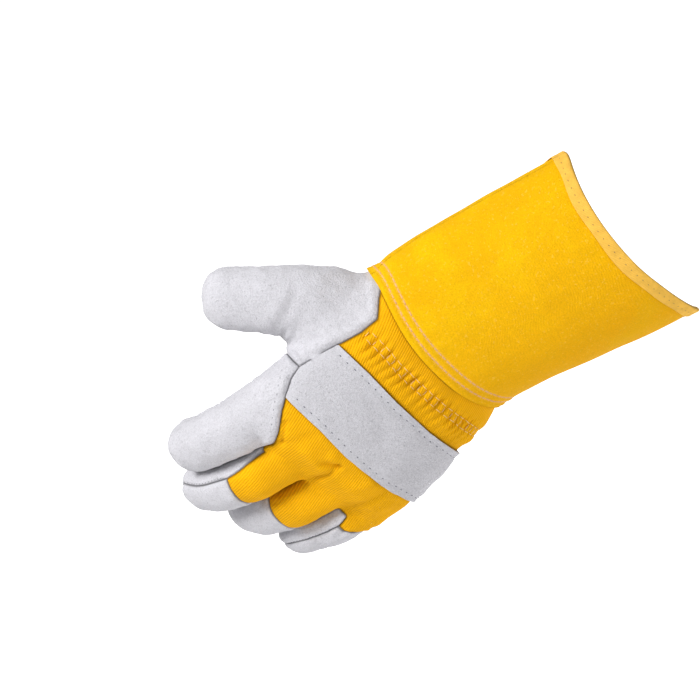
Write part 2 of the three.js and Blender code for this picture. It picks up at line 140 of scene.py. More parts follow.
# Reach of a fingertip's cap to the thumb side: place along the finger, across it.
CAPS = {
    "middle": np.array([(28, 13.4), (42, 12.7), (55, 10.6), (75, 10.6), (95, 11.4)]),
    "ring": np.array([(0, 17.0), (95, 17.0)]),
    "little": np.array([(15, 9.0), (28, 5.7), (34, 3.2), (48, 2.7), (62, 2.8), (75, 2.0)]),
}
# Heights of the seams between backs and fronts above a finger's middle line, on its side to the
# little finger and on its side to the thumb.
SEAM_HEIGHTS = {"index": (6, 6), "middle": (-3, 8), "ring": (2.5, -3), "little": (6, 6)}
# Sections of the cuff: at from hem to mouth, growth, depth, shift, rise, squareness.
CUFF = np.array([
    (0.00, 0.00, 0.00, 0.000, 0.000, 2.35),
    (0.12, 0.34, 0.10, 0.020, 0.010, 2.35),
    (0.27, 0.50, 0.25, 0.067, 0.020, 2.35),
    (0.50, 0.66, 0.45, 0.161, 0.040, 2.30),
    (0.80, 0.94, 0.78, 0.287, 0.065, 2.15),
    (1.00, 1.00, 1.00, 0.365, 0.080, 2.02),
])
# The cuff's hem: where it starts, its skew to the thumb side, its scoop at the back and its
# ease over the wrist. The mouth's turn in degrees, and its dip at the back and the palm.
HEM_START, HEM_SKEW, HEM_DIP, HEM_EASE = 12, 3, 14, 1
MOUTH_TURN, MOUTH_DIP = 6, 17
# The hem's two sewn rows, and its rolls and the dents at the rows: place, half width, height.
HEM_ROWS = (4.8, 9.4)
HEM_ROLLS = ((1.8, 1.9, 1.05), (7, 2.4, 0.5), (HEM_ROWS[0], 0.8, -0.4), (HEM_ROWS[1], 0.8, -0.4))
# Rows of stitches: how far the strap's lie from its edges, and the gathers' from their middle.
STRAP_ROW, GATHER_ROW = 3.5, 2.5
# Colours of the sewing threads.
THREADS = {
    "cream": (0.86, 0.56, 0.2),
    "grey": (0.09, 0.09, 0.12),
    "beige": (0.76, 0.42, 0.20),
    "brown": (0.30, 0.17, 0.07),
}
# Painted shade in the groove of a turned seam, and on the cotton along the hem and the strap, as a
# share of the panel's colour.
SEAM_PAINTED_SHADE = 0.22
# Folds pressed into the palm and into the cotton: two ends as (x, z), depth, which is below 0
# for a ridge, and half width.
PALM_FOLDS = [
    ((-8, 22), (-30, 14), 1.3, 3.2),
    ((-30, 14), (-52, 20), 1.0, 3.4),
    ((-12, 36), (-30, 27), 0.9, 2.6),
    ((-10, -28), (-60, -30), 0.9, 4.5),
    ((-66, 42), (-70, 6), 0.8, 3.0),
    ((-60, 4), (-68, -38), 0.9, 3.2),
]
COTTON_FOLDS = [
    ((-88, 34), (-68, 26), 0.8, 2.8),
    ((-86, 34.5), (-75, 42.5), 2.0, 1.5),
    ((-90, 3), (-76, 3), 2.0, 2.0),
    ((-76, 3), (-80, 11), 2.4, 1.7),
    ((-80, 22), (-83, 9), -1.7, 4.2),
    ((-73, 10), (-74, 1), -1.6, 3.2),
    ((-88, -26), (-70, -30), 1.5, 2.8),
    ((-72, -18), (-84, -12), -1.1, 4.5),
    ((-76, -40), (-92, -36), -1.0, 4.0),
]


class GloveForm(bpy.types.PropertyGroup):
    """Sizes of the hand and its digits."""
    palm_length: FloatProperty(name="Palm length", description="Wrist to finger roots",
                               default=0.088, unit="LENGTH")
    hand_width: FloatProperty(name="Hand width", description="Across the knuckles",
                              default=0.112, unit="LENGTH")
    hand_depth: FloatProperty(name="Hand depth", description="Back to palm",
                              default=0.052, unit="LENGTH")
    wrist_width: FloatProperty(name="Wrist width", description="Across the wrist",
                               default=0.104, unit="LENGTH")
    wrist_depth: FloatProperty(name="Wrist depth", description="Back to palm at the wrist",
                               default=0.056, unit="LENGTH")
    wrist_lap: FloatProperty(name="Wrist lap", description="Length inside the cuff",
                             default=0.020, unit="LENGTH")
    finger_length: FloatProperty(name="Finger length", description="Middle finger",
                                 default=0.104, unit="LENGTH")
    finger_width: FloatProperty(name="Finger width", description="Across a finger",
                                default=0.031, unit="LENGTH")
    finger_depth: FloatProperty(name="Finger depth", description="Back to front of a finger",
                                default=0.030, unit="LENGTH")
    thumb_length: FloatProperty(name="Thumb length", description="Root to tip",
                                default=0.062, unit="LENGTH")
    thumb_width: FloatProperty(name="Thumb width", description="Across the thumb",
                               default=0.036, unit="LENGTH")
    thumb_depth: FloatProperty(name="Thumb depth", description="Back to front of the thumb",
                               default=0.034, unit="LENGTH")
    cell: FloatProperty(name="Cell", description="Grid step of the skin",
                        default=0.001, unit="LENGTH", precision=5)


class GlovePanels(bpy.types.PropertyGroup):
    """Walls, seams and folds of the leather and the cotton."""
    wall: FloatProperty(name="Wall", description="Thickness of leather and cotton",
                        default=0.0014, unit="LENGTH", precision=5)
    proud: FloatProperty(name="Leather proud", description="Leather over the cotton",
                         default=0.0006, unit="LENGTH", precision=5)
    groove: FloatProperty(name="Seam groove", description="Depth of the turned seams",
                          default=0.0010, unit="LENGTH", precision=5)
    pucker: FloatProperty(name="Pucker", description="Height of the wrist's gathers",
                          default=0.0023, unit="LENGTH", precision=5)
    strap_width: FloatProperty(name="Strap width", description="Width of the knuckle strap",
                               default=0.040, unit="LENGTH")
    leather: FloatVectorProperty(name="Leather", description="Colour of the split leather",
                                 subtype="COLOR", size=3, default=(0.53, 0.522, 0.555))
    cotton: FloatVectorProperty(name="Cotton", description="Colour of the cotton drill",
                                subtype="COLOR", size=3, default=(0.745, 0.36, 0.001))


class GloveCuff(bpy.types.PropertyGroup):
    """Sizes of the gauntlet cuff and its binding."""
    length: FloatProperty(name="Length", description="Hem to mouth",
                          default=0.118, unit="LENGTH")
    mouth_width: FloatProperty(name="Mouth width", description="Across the mouth",
                               default=0.123, unit="LENGTH")
    mouth_depth: FloatProperty(name="Mouth depth", description="Back to palm at the mouth",
                               default=0.082, unit="LENGTH")
    binding: FloatProperty(name="Binding width", description="Folded tape at the mouth",
                           default=0.0065, unit="LENGTH", precision=5)
    canvas: FloatVectorProperty(name="Canvas", description="Colour of the canvas",
                                subtype="COLOR", size=3, default=(0.87, 0.455, 0.002))
    tape: FloatVectorProperty(name="Tape", description="Colour of the binding",
                              subtype="COLOR", size=3, default=(0.80, 0.46, 0.07))


class GloveStage(bpy.types.PropertyGroup):
    """Camera, floor and lights."""
    floor: FloatProperty(name="Floor", description="Height of the floor",
                         default=-0.62, unit="LENGTH")
    distance: FloatProperty(name="Distance", description="Camera to glove",
                            default=0.926, unit="LENGTH")
    key: FloatProperty(name="Key light", description="Power of the light overhead",
                       default=78.0, unit="POWER")
    glow: FloatProperty(name="Floor glow", description="Light that the paper floor gives off",
                        default=0.8)
    ambient: FloatProperty(name="Ambient", description="Strength of the even light",
                           default=0.32)


def mm(value):
    return value / MM


def smooth(share):
    """A step that starts and ends level: 3t^2 - 2t^3 of a share held between 0 and 1."""
    t = np.clip(share, 0, 1)
    return t * t * (3 - 2 * t)


def bell(distance, width):
    """A bell curve: exp of minus the squared distance over the squared width."""
    return np.exp(-(distance / width) ** 2)


def table_at(table, at, soften):
    """Columns of a table between its rows.

    Each column is interpolated in straight lines, averaged under a bell of the given width,
    and read at the given places.
    """
    fine = np.linspace(table[0, 0], table[-1, 0], 481)
    step = fine[1] - fine[0]
    reach = int(3 * soften / step)
    kernel = bell(np.arange(-reach, reach + 1) * step, soften)
    kernel /= kernel.sum()
    result = []
    for column in table.T[1:]:
        line = np.interp(fine, table[:, 0], column)
        padded = np.pad(line, reach, mode="reflect", reflect_type="odd")
        result.append(np.interp(at, fine, np.convolve(padded, kernel, mode="valid")))
    return result


def waves(points, size, seed, count=10):
    """Seeded unevenness of about -1 to 1: sines along random directions, near one wavelength."""
    rng = np.random.default_rng(seed)
    ways = rng.normal(size=(count, 3))
    ways /= np.linalg.norm(ways, axis=1)[:, None]
    ways *= 2 * np.pi / (size * rng.uniform(0.7, 1.5, count))[:, None]
    phases = rng.uniform(0, 2 * np.pi, count)
    return np.sin(points @ ways.T + phases).sum(axis=1) / np.sqrt(count)


def soft_least(a, b, blend):
    """The smaller of two distances, rounded where they differ by less than the blend."""
    overlap = np.maximum(blend - np.abs(a - b), 0)
    return np.minimum(a, b) - overlap ** 2 / (4 * blend)


def least(*fields):
    """Signed distance into what lies inside all of the given regions."""
    return np.minimum.reduce(fields)


def most(*fields):
    """Signed distance into what lies inside any of the given regions."""
    return np.maximum.reduce(fields)


def digit_form(name):
    return THUMB if name == "thumb" else FINGER


def over_ellipse(across, out, ends, half_across, half_out, half_ends, power):
    """Distance to a rounded section: reach * (1 - 1/r), r the superellipse radius."""
    radius = (np.abs(across / half_across) ** power + np.abs(out / half_out) ** power
              + np.abs(ends / half_ends) ** power) ** (1 / power)
    reach = np.sqrt(across ** 2 + out ** 2 + ends ** 2)
    return reach * (1 - 1 / np.maximum(radius, 1e-4))


class Hand:
    """The glove's outer form as a field of distances, with places measured on it."""

    def __init__(self, form):
        self.palm = mm(form.palm_length)
        self.width = mm(form.hand_width)
        self.depth = mm(form.hand_depth)
        self.wrist = (mm(form.wrist_width), mm(form.wrist_depth))
        self.lap = mm(form.wrist_lap)
        self.step = mm(form.cell)
        self.finger = (mm(form.finger_length), mm(form.finger_width), mm(form.finger_depth))
        self.thumb = (mm(form.thumb_length), mm(form.thumb_width), mm(form.thumb_depth))
        self.lines = {name: self.line(name) for name in DIGITS}
        self.fill()

    def sizes(self, name):
        base = self.thumb if name == "thumb" else self.finger
        return np.array(base) * DIGITS[name]["size"]

    def line(self, name):
        """Middle line of a digit: short steps whose heading curls to the palm at each joint."""
        digit = DIGITS[name]
        length = self.sizes(name)[0]
        tip, buried = digit_form(name)["tip"], digit_form(name)["buried"]
        lean = np.radians(digit["lean"])
        ahead = np.array([-np.cos(lean), 0, np.sin(lean)])
        palmward = np.array([0, 1, 0])
        short, bending = 2.5, 16
        count = int((length - tip + buried) / short)
        s = np.linspace(-buried, length - tip, count + 1)
        middle = (s[1:] + s[:-1]) / 2
        curl = sum(np.radians(bend) * smooth((middle - joint * length) / bending + 0.5)
                   for bend, joint in zip(digit["bends"], digit_form(name)["joints"]))
        way = np.cos(curl)[:, None] * ahead + np.sin(curl)[:, None] * palmward
        back = np.sin(curl)[:, None] * ahead - np.cos(curl)[:, None] * palmward
        start = np.array([-digit["root"] * self.palm, digit["rise"] * self.depth,
                          digit["side"] * self.width]) - buried * ahead
        steps = way * (s[1] - s[0])
        places = np.vstack([start, start + np.cumsum(steps, axis=0)])
        across = np.array([np.sin(lean), 0, np.cos(lean)])
        return dict(s=s, places=places, way=way, back=back, across=across, tip=tip,
                    buried=buried, length=length)

    def on_digit(self, name, points):
        """Distance along, across and out of the back of a digit, and to its surface.

        The nearest stretch of the middle line gives the place along it, and what is left of
        the offset splits into across, back and the way on.
        """
        line = self.lines[name]
        best = np.full(len(points), np.inf)
        along = np.zeros(len(points))
        piece = np.zeros(len(points), int)
        for i, (a, b) in enumerate(zip(line["places"][:-1], line["places"][1:])):
            span = b - a
            share = np.clip((points - a) @ span / (span @ span), 0, 1)
            away = ((points - a - share[:, None] * span) ** 2).sum(axis=1)
            nearer = away < best
            best = np.where(nearer, away, best)
            along = np.where(nearer, line["s"][i] + share * np.sqrt(span @ span), along)
            piece = np.where(nearer, i, piece)
        at = np.clip((along - line["s"][0]) / (line["s"][1] - line["s"][0]), 0,
                     len(line["places"]) - 1)
        low = np.minimum(at.astype(int), len(line["places"]) - 2)
        foot = line["places"][low] + (at - low)[:, None] * (
            line["places"][low + 1] - line["places"][low])
        offset = points - foot
        across = offset @ line["across"]
        out = (offset * line["back"][piece]).sum(axis=1)
        ends = (offset * line["way"][piece]).sum(axis=1)
        _, width, depth = self.sizes(name)
        share = (along + line["buried"]) / (line["length"] + line["buried"])
        wide, deep, shift = table_at(digit_form(name)["sections"], share, DIGIT_EASE)
        across = across - shift * width
        ends = np.where((along > line["s"][-1] - 0.01) | (along < line["s"][0] + 0.01), ends, 0)
        distance = over_ellipse(across, out, ends, wide * width / 2, deep * depth / 2,
                                line["tip"], DIGIT_SQUARE)
        return along + np.maximum(ends, 0), across, out, distance

    def section(self, x):
        """Half width, half depth, side, height and cup of the hand at places along it."""
        at = (self.lap - x) / (self.lap + self.palm)
        wrist, width, depth, side, rise, cup = table_at(HAND, at, HAND_EASE)
        half_width = (self.width + (self.wrist[0] - self.width) * wrist) * width / 2
        half_depth = (self.depth + (self.wrist[1] - self.depth) * wrist) * depth / 2
        return half_width, half_depth, side * self.width, rise * self.depth, cup

    def body(self, x, y, z):
        """Distance to the hand without its digits: rounded sections, hollowed at the palm."""
        half_width, half_depth, side, height, cup = self.section(x)
        across = z - side
        out = height - y
        u = across / half_width
        hollow = np.where(out < 0, 1 - cup * np.clip(1 - u ** 2, 0, 1) ** 2, 1)
        distance = over_ellipse(across, out, 0 * x, half_width, half_depth * hollow, 1.0,
                                HAND_SQUARE)
        last = self.lap - HAND[-1, 0] * (self.lap + self.palm)
        return np.maximum(distance, last - x)

    def fill(self):
        """Lays the whole form on a grid: the least of all distances, rounded at the joins."""
        low, high = BLOCK
        far = 60.0
        counts = np.ceil((high - low) / self.step).astype(int) + 1
        axes = [low[i] + self.step * np.arange(counts[i]) for i in range(3)]
        x, y, z = (axis.reshape(shape) for axis, shape in
                   zip(axes, ((-1, 1, 1), (1, -1, 1), (1, 1, -1))))
        whole = self.body(x, y, z)
        digits = np.full(counts, far)
        for name in (*FINGERS, "thumb"):
            line = self.lines[name]
            reach = digit_form(name)["reach"]
            first = np.maximum((line["places"].min(axis=0) - reach - low) / self.step, 0)
            last = (line["places"].max(axis=0) + reach - low) / self.step
            block = tuple(slice(int(a), int(b) + 1) for a, b in zip(first, last))
            grid = np.meshgrid(*(axis[part] for axis, part in zip(axes, block)), indexing="ij")
            points = np.stack(grid, axis=-1).reshape(-1, 3)
            distance = self.on_digit(name, points)[3].reshape(grid[0].shape)
            if name == "thumb":
                whole[block] = soft_least(whole[block], distance, THUMB_BLEND)
            else:
                digits[block] = soft_least(digits[block], distance, FINGER_BLEND)
        self.values = soft_least(whole, digits, ROOT_BLEND)

    def distance(self, points):
        """The field at points, mixed from the eight corners of each point's cell."""
        place = (points - BLOCK[0]) / self.step
        base = np.clip(np.floor(place).astype(int), 0, np.array(self.values.shape) - 2)
        share = np.clip(place - base, 0, 1)
        total = 0
        for corner in np.ndindex(2, 2, 2):
            weight = np.prod(np.where(corner, share, 1 - share), axis=1)
            total = total + weight * self.values[tuple((base + corner).T)]
        return total

    def seam_at(self, x):
        """How far to the thumb side the back's leather starts."""
        return np.interp(-x / self.palm, *SEAM.T) * self.width / 2

    def normals(self, points):
        """Outward directions: differences of the field a part of a cell to each side."""
        part = 0.7
        slopes = []
        for axis in np.eye(3) * self.step * part:
            slopes.append(self.distance(points + axis) - self.distance(points - axis))
        normal = np.stack(slopes, axis=1)
        return normal / np.maximum(np.linalg.norm(normal, axis=1), 1e-9)[:, None]

    def skin(self):
        """Surface nets over the grid.

        One point in each cell that the surface crosses, at the mean of the crossings of its
        edges, and one quad round each grid edge whose ends lie on two sides.
        """
        values = self.values
        inside = values < 0
        shape = np.array(values.shape)
        cells = shape - 1
        owners, places, quads = [], [], []
        for axis in range(3):
            one, two = (axis + 1) % 3, (axis + 2) % 3
            near = [slice(None)] * 3
            far = [slice(None)] * 3
            near[axis] = slice(0, -1)
            far[axis] = slice(1, None)
            at = np.argwhere(inside[tuple(near)] != inside[tuple(far)])
            ahead = at.copy()
            ahead[:, axis] += 1
            a, b = values[tuple(at.T)], values[tuple(ahead.T)]
            cross = at.astype(float)
            cross[:, axis] += a / (a - b)
            ring = []
            fine = np.ones(len(at), bool)
            for step_one, step_two in ((0, 0), (1, 0), (1, 1), (0, 1)):
                cell = at.copy()
                cell[:, one] -= step_one
                cell[:, two] -= step_two
                fine &= ((cell >= 0) & (cell < cells)).all(axis=1)
                ring.append(np.ravel_multi_index(tuple(np.clip(cell, 0, cells - 1).T), cells))
            ring = np.stack(ring, axis=1)[fine]
            owners.append(ring.ravel())
            places.append(np.repeat(cross[fine], 4, axis=0))
            turned = (a < 0)[fine]
            quads.append(np.where(turned[:, None], ring, ring[:, ::-1]))
        owners = np.concatenate(owners)
        used, index = np.unique(owners, return_inverse=True)
        places = np.concatenate(places)
        count = np.bincount(index)
        points = np.stack([np.bincount(index, places[:, i]) / count for i in range(3)], axis=1)
        points = BLOCK[0] + points * self.step
        quads = np.searchsorted(used, np.concatenate(quads))
        triangles = np.concatenate([quads[:, [0, 1, 2]], quads[:, [0, 2, 3]]])
        for _ in range(2):
            points = points - self.distance(points)[:, None] * self.normals(points)
        return points, triangles


def clip(points, triangles, keep, extras):
    """The part of a surface where keep is positive, with triangles cut along its zero line."""
    inside = keep >= 0
    held = inside[triangles].sum(axis=1)
    parts = [triangles[held == 3]]
    edges = []
    corners = []
    for count, single in ((1, True), (2, False)):
        some = triangles[held == count]
        odd = np.argmax(inside[some] == single, axis=1)
        some = np.take_along_axis(some, (odd[:, None] + [0, 1, 2]) % 3, axis=1)
        corners.append(some)
        edges.append(some[:, [0, 1]])
        edges.append(some[:, [0, 2]])
    pairs = np.sort(np.concatenate(edges), axis=1)
    unique, index = np.unique(pairs, axis=0, return_inverse=True)
    index = index.ravel() + len(points)
    a, b = unique.T
    share = keep[a] / (keep[a] - keep[b])
    sizes = np.cumsum([len(e) for e in edges])[:-1]
    one_ab, one_ac, two_ab, two_ac = np.split(index, sizes)
    one, two = corners
    parts.append(np.stack([one[:, 0], one_ab, one_ac], axis=1))
    parts.append(np.stack([two_ab, two[:, 1], two[:, 2]], axis=1))
    parts.append(np.stack([two_ab, two[:, 2], two_ac], axis=1))
    faces = np.concatenate(parts)
    used, faces = np.unique(faces, return_inverse=True)
    mixed = []
    for column in (points, *extras):
        t = share[:, None] if column.ndim > 1 else share
        mixed.append(np.concatenate([column, column[a] + t * (column[b] - column[a])])[used])
    return mixed[0], faces.reshape(-1, 3), mixed[1:]


def largest(points, triangles, extras):
    """The largest joined patch: labels sink to the least of their neighbours until they rest."""
    label = np.arange(len(points))
    while True:
        least = label[triangles].min(axis=1)
        sunk = label.copy()
        for corner in range(3):
            np.minimum.at(sunk, triangles[:, corner], least)
        sunk = sunk[sunk]
        if (sunk == label).all():
            break
        label = sunk
    keep = label[triangles[:, 0]] == np.bincount(label[triangles[:, 0]]).argmax()
    used, faces = np.unique(triangles[keep], return_inverse=True)
    return points[used], faces.reshape(-1, 3), [column[used] for column in extras]


def add_object(name, data, matrix=None):
    made = bpy.data.objects.new(name, data)
    if matrix is not None:
        made.matrix_world = matrix
    bpy.context.scene.collection.objects.link(made)
    return made


def make_mesh(name, points, faces, material, uv=None, seam=None, smooth_angle=None):
    """A mesh object in metres. Faces is a list of index arrays, one for each corner count."""
    mesh = bpy.data.meshes.new(name)
    loops = np.concatenate([part.ravel() for part in faces]).astype(np.int32)
    totals = np.concatenate([np.full(len(part), part.shape[1]) for part in faces])
    starts = np.concatenate([[0], np.cumsum(totals)[:-1]])
    mesh.vertices.add(len(points))
    mesh.vertices.foreach_set("co", (points * MM).astype(np.float32).ravel())
    mesh.loops.add(len(loops))
    mesh.loops.foreach_set("vertex_index", loops)
    mesh.polygons.add(len(totals))
    mesh.polygons.foreach_set("loop_start", starts.astype(np.int32))
    mesh.polygons.foreach_set("use_smooth", np.ones(len(totals), bool))
    mesh.update(calc_edges=True)
    if uv is not None:
        layer = mesh.uv_layers.new(name="weave")
        layer.uv.foreach_set("vector", uv[loops].astype(np.float32).ravel())
    if seam is not None:
        mesh.attributes.new("seam", "FLOAT", "POINT")
        mesh.attributes["seam"].data.foreach_set("value", seam.astype(np.float32))
    if smooth_angle:
        mesh.set_sharp_from_angle(angle=np.radians(smooth_angle))
    mesh.materials.append(material)
    made = add_object(name, mesh)
    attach(made, "root")
    return made


def thicken(points, normals, triangles, wall):
    """A closed shell: the surface, a copy of it a wall's depth inwards, and a rim of quads."""
    count = len(points)
    forward = np.concatenate([triangles[:, [0, 1]], triangles[:, [1, 2]], triangles[:, [2, 0]]])
    codes = forward[:, 0] * count + forward[:, 1]
    back = forward[:, 1] * count + forward[:, 0]
    rim = forward[~np.isin(codes, back)]
    quads = np.stack([rim[:, 1], rim[:, 0], rim[:, 0] + count, rim[:, 1] + count], axis=1)
    solid = np.concatenate([points, points - normals * wall])
    return solid, [np.concatenate([triangles, triangles[:, ::-1] + count]), quads]


def grid_quads(rows, columns, loop_rows=False, loop_columns=False):
    """Quads between the points of a grid kept row by row, joined round where it loops."""
    i = np.arange(rows if loop_rows else rows - 1)
    j = np.arange(columns if loop_columns else columns - 1)
    i, j = (part.ravel() for part in np.meshgrid(i, j, indexing="ij"))
    up, on = (i + 1) % rows, (j + 1) % columns
    return np.stack([i * columns + j, i * columns + on, up * columns + on, up * columns + j],
                    axis=1)


def circle(count):
    """Angles all the way round, without the last one that meets the first."""
    return np.linspace(0, 2 * np.pi, count + 1)[:-1]


def tree_of(points, faces):
    """A surface that stitches are settled on."""
    return BVHTree.FromPolygons(points.reshape(-1, 3).tolist(), faces.tolist())


def add_node(tree, kind, values=None, output=0, **settings):
    """An output of a new node: its settings come first, then its sockets' values or links."""
    node = tree.nodes.new(f"ShaderNode{kind}")
    for key, value in settings.items():
        setattr(node, key, value)
    for key, value in (values or {}).items():
        if isinstance(value, Sock):
            value.link(node.inputs[key])
        else:
            node.inputs[key].default_value = value
    return Sock(tree, node.outputs[output])


class Sock:
    """A node socket that is reckoned with like a number."""

    def __init__(self, tree, socket):
        self.tree = tree
        self.socket = socket

    def link(self, target):
        self.tree.links.new(self.socket, target)

    def math(self, operation, *others):
        values = dict(enumerate((self, *others)))
        return add_node(self.tree, "Math", values, operation=operation)

    def __add__(self, other):
        return self.math("ADD", other)

    __radd__ = __add__

    def __sub__(self, other):
        return self.math("SUBTRACT", other)

    def __rsub__(self, other):
        return self.math("MULTIPLY_ADD", -1.0, other)

    def __mul__(self, other):
        return self.math("MULTIPLY", other)

    __rmul__ = __mul__

    def wave(self, pitch):
        """A sine of -1 to 1 that comes round once in each pitch."""
        return (self * (2 * np.pi / pitch)).math("SINE")

    def step(self, low, high):
        """Rises smoothly from 0 at low to 1 at high."""
        values = {"Value": self, "From Min": low, "From Max": high}
        return add_node(self.tree, "MapRange", values, "Result", interpolation_type="SMOOTHSTEP")

    def mix(self, first, second):
        """A colour between two, by this factor."""
        ends = [end if isinstance(end, Sock) else (*end, 1) for end in (first, second)]
        values = {"Factor": self, "A": ends[0], "B": ends[1]}
        return add_node(self.tree, "Mix", values, "Result", data_type="RGBA")


class Surface:
    """A principled material under construction."""

    def __init__(self, name, roughness, sheen=0.0, specular=0.3):
        self.material = bpy.data.materials.new(name)
        self.material.use_nodes = True
        self.tree = self.material.node_tree
        self.shader = self.tree.nodes["Principled BSDF"]
        self.shader.inputs["Roughness"].default_value = roughness
        self.shader.inputs["Sheen Weight"].default_value = sheen
        self.shader.inputs["Sheen Roughness"].default_value = 0.6
        self.shader.inputs["Specular IOR Level"].default_value = specular

    def place(self):
        """Object coordinates in millimetres."""
        metres = add_node(self.tree, "TexCoord", output="Object")
        return add_node(self.tree, "VectorMath", {0: metres, "Scale": 1 / MM}, operation="SCALE")

    def weave(self):
        """Millimetres along and across the panel, from its UV map."""
        laid = add_node(self.tree, "TexCoord", output="UV")
        return [self.axis(laid, name) for name in "XY"]

    def axis(self, vector, name):
        return add_node(self.tree, "SeparateXYZ", {0: vector}, name)

    def noise(self, vector, size, detail, rough):
        """Noise with features of about the given size in millimetres."""
        values = {"Vector": vector, "Scale": 1 / size, "Detail": detail, "Roughness": rough}
        return add_node(self.tree, "TexNoise", values, "Fac")

    def seam(self):
        """Millimetres from the panel's edge, as make_mesh keeps them, along which the materials paint
        shade.
        """
        return add_node(self.tree, "Attribute", output="Fac", attribute_name="seam")

    def finish(self, tone, height, distance):
        """The material, with its colour and a height in shares of a distance in millimetres."""
        tone.link(self.shader.inputs["Base Color"])
        values = {"Height": height, "Distance": distance * MM}
        add_node(self.tree, "Bump", values, "Normal").link(self.shader.inputs["Normal"])
        return self.material


def scaled(colour, factor):
    return tuple(min(1.0, channel * factor) for channel in colour)


def suede(name, colour):
    """Split leather: a short nap that turns light and dark, in patches, specks and fine pile, with
    painted shade along its seams.
    """
    surface = Surface(name, 0.95, sheen=0.12, specular=0.1)
    place = surface.place()
    patches = surface.noise(place, 16, 4, 0.6)
    nap = surface.noise(place, 2.6, 5, 0.72)
    pile = surface.noise(place, 0.75, 3, 0.7)
    specks = surface.noise(place, 1.25, 2, 0.6)
    tone = patches.step(0.3, 0.7).mix(scaled(colour, 0.86), scaled(colour, 1.05))
    tone = nap.step(0.28, 0.74).mix(scaled(colour, 0.86), tone)
    tone = (pile.step(0.32, 0.68) * 0.8).mix(tone, scaled(colour, 1.18))
    tone = (specks.step(0.58, 0.70) * 0.42).mix(tone, scaled(colour, 0.5))
    # Painted shade: within 0.8 mm of the panel's edge the leather darkens, as in the groove of a seam
    # and where the strap tucks under.
    tone = (surface.seam().step(0.8, 0.0) * 0.8).mix(tone, scaled(colour, SEAM_PAINTED_SHADE))
    return surface.finish(tone, nap * 0.5 + pile * 0.8 + specks * 0.2, 1.0)


def drill(name, colour):
    """Cotton drill: fine diagonal ribs, broken by the thread's unevenness, with painted shade along
    its seams, the hem and the strap.
    """
    rib_pitch, thread_pitch = 1.3, 0.9
    steep, slant = 0.965, 0.262
    surface = Surface(name, 0.85, specular=0.08)
    place = surface.place()
    along, across = surface.weave()
    wander = surface.noise(place, 18, 2, 0.5)
    rib = (across * steep - along * slant + wander * 0.7).wave(rib_pitch) * 0.5 + 0.5
    cross = (along * steep + across * slant).wave(thread_pitch) * 0.5 + 0.5
    fluff = surface.noise(place, 0.7, 3, 0.7)
    fade = surface.noise(place, 22, 3, 0.55)
    pale = tuple(min(1.0, channel + 0.06) for channel in scaled(colour, 1.1))
    tone = fade.step(0.3, 0.72).mix(scaled(colour, 0.92), scaled(colour, 1.06))
    tone = (rib.step(0.08, 0.62) * 0.5 + 0.5).mix(scaled(colour, 0.66), tone)
    tone = (fluff.step(0.52, 0.78) * 0.28).mix(tone, pale)
    # Painted shade: the drill darkens within 1.5 mm of its seams, of the cuff's hem and of the
    # strap's edges.
    tone = (surface.seam().step(1.5, 0.1) * 0.85).mix(tone, scaled(colour, SEAM_PAINTED_SHADE))
    return surface.finish(tone, rib * 0.7 + cross * 0.25 + fluff * 0.35, 0.32)


def canvas(name, colour):
    """Rubberised canvas: a fine plain weave, filled smooth, with painted light on its upper side.

    It turns from orange to lemon in patches and with its height, painted light and shade for the
    key lamp overhead, is flecked pale where the filling has worn, and is tan beside the hem's two
    sewn rows.
    """
    thread_pitch = 0.9
    surface = Surface(name, 0.7, specular=0.05)
    place = surface.place()
    along, across = surface.weave()
    weave = along.wave(thread_pitch) * across.wave(thread_pitch) * 0.5 + 0.5
    fluff = surface.noise(place, 0.8, 3, 0.7)
    flecks = surface.noise(place, 1.5, 2, 0.6)
    fade = surface.noise(place, 26, 4, 0.6)
    red, green, blue = colour
    orange = (red * 0.95, green * 0.84, blue)
    lemon = (red, green * 1.15, blue)
    height = surface.axis(place, "Z")
    # Painted light and shade: lemon higher up, towards the key lamp overhead, and orange lower down,
    # mixed with random patches.
    patches_and_painted_light = (height * 0.012 + fade * 1.4).step(-0.2, 1.5).mix(orange, lemon)
    tone = fade.step(0.3, 0.72).mix(scaled(colour, 0.95), patches_and_painted_light)
    grain = (weave * 0.2 + fluff.step(0.3, 0.7) * 0.5 + 0.38).math("MINIMUM", 1.0)
    tone = grain.mix(scaled(colour, 0.66), tone)
    tone = (flecks.step(0.6, 0.7) * 0.3).mix(tone, (red * 1.05, green * 1.3, 0.1))
    between, half = sum(HEM_ROWS) / 2, (HEM_ROWS[1] - HEM_ROWS[0]) / 2
    row = ((along - between).math("ABSOLUTE") - half).math("ABSOLUTE")
    sewn = row.step(1.5, 0.3) * fluff.step(0.35, 0.65) * 0.6
    tone = sewn.mix(tone, (red * 0.98, green * 1.02, 0.13))
    (fade * 0.12 + 0.62).link(surface.shader.inputs["Roughness"])
    return surface.finish(tone, weave * 0.45 + fluff * 0.8, 0.5)


def tape(name, colour):
    """Folded cotton tape: fine ribs across its width, soiled in patches, and darkened at its outer
    edge with painted shade.
    """
    rib_pitch = 0.8
    surface = Surface(name, 0.8, specular=0.12)
    place = surface.place()
    along, across = surface.weave()
    rib = across.wave(rib_pitch) * 0.5 + 0.5
    fluff = surface.noise(place, 0.6, 3, 0.7)
    soil = surface.noise(place, 7, 4, 0.65)
    tone = soil.step(0.35, 0.75).mix(scaled(colour, 1.05), scaled(colour, 0.8))
    # Painted shade: the rim over the canvas's edge, past 0.4 mm, darkens to a nearly black brown.
    tone = (along.step(0.4, 1.25) * 0.75).mix(tone, (0.16, 0.09, 0.01))
    grain = (rib * 0.4 + fluff * 0.4 + 0.3).math("MINIMUM", 1.0)
    tone = grain.mix(scaled(colour, 0.72), tone)
    return surface.finish(tone, rib * 0.5 + fluff * 0.5, 0.2)


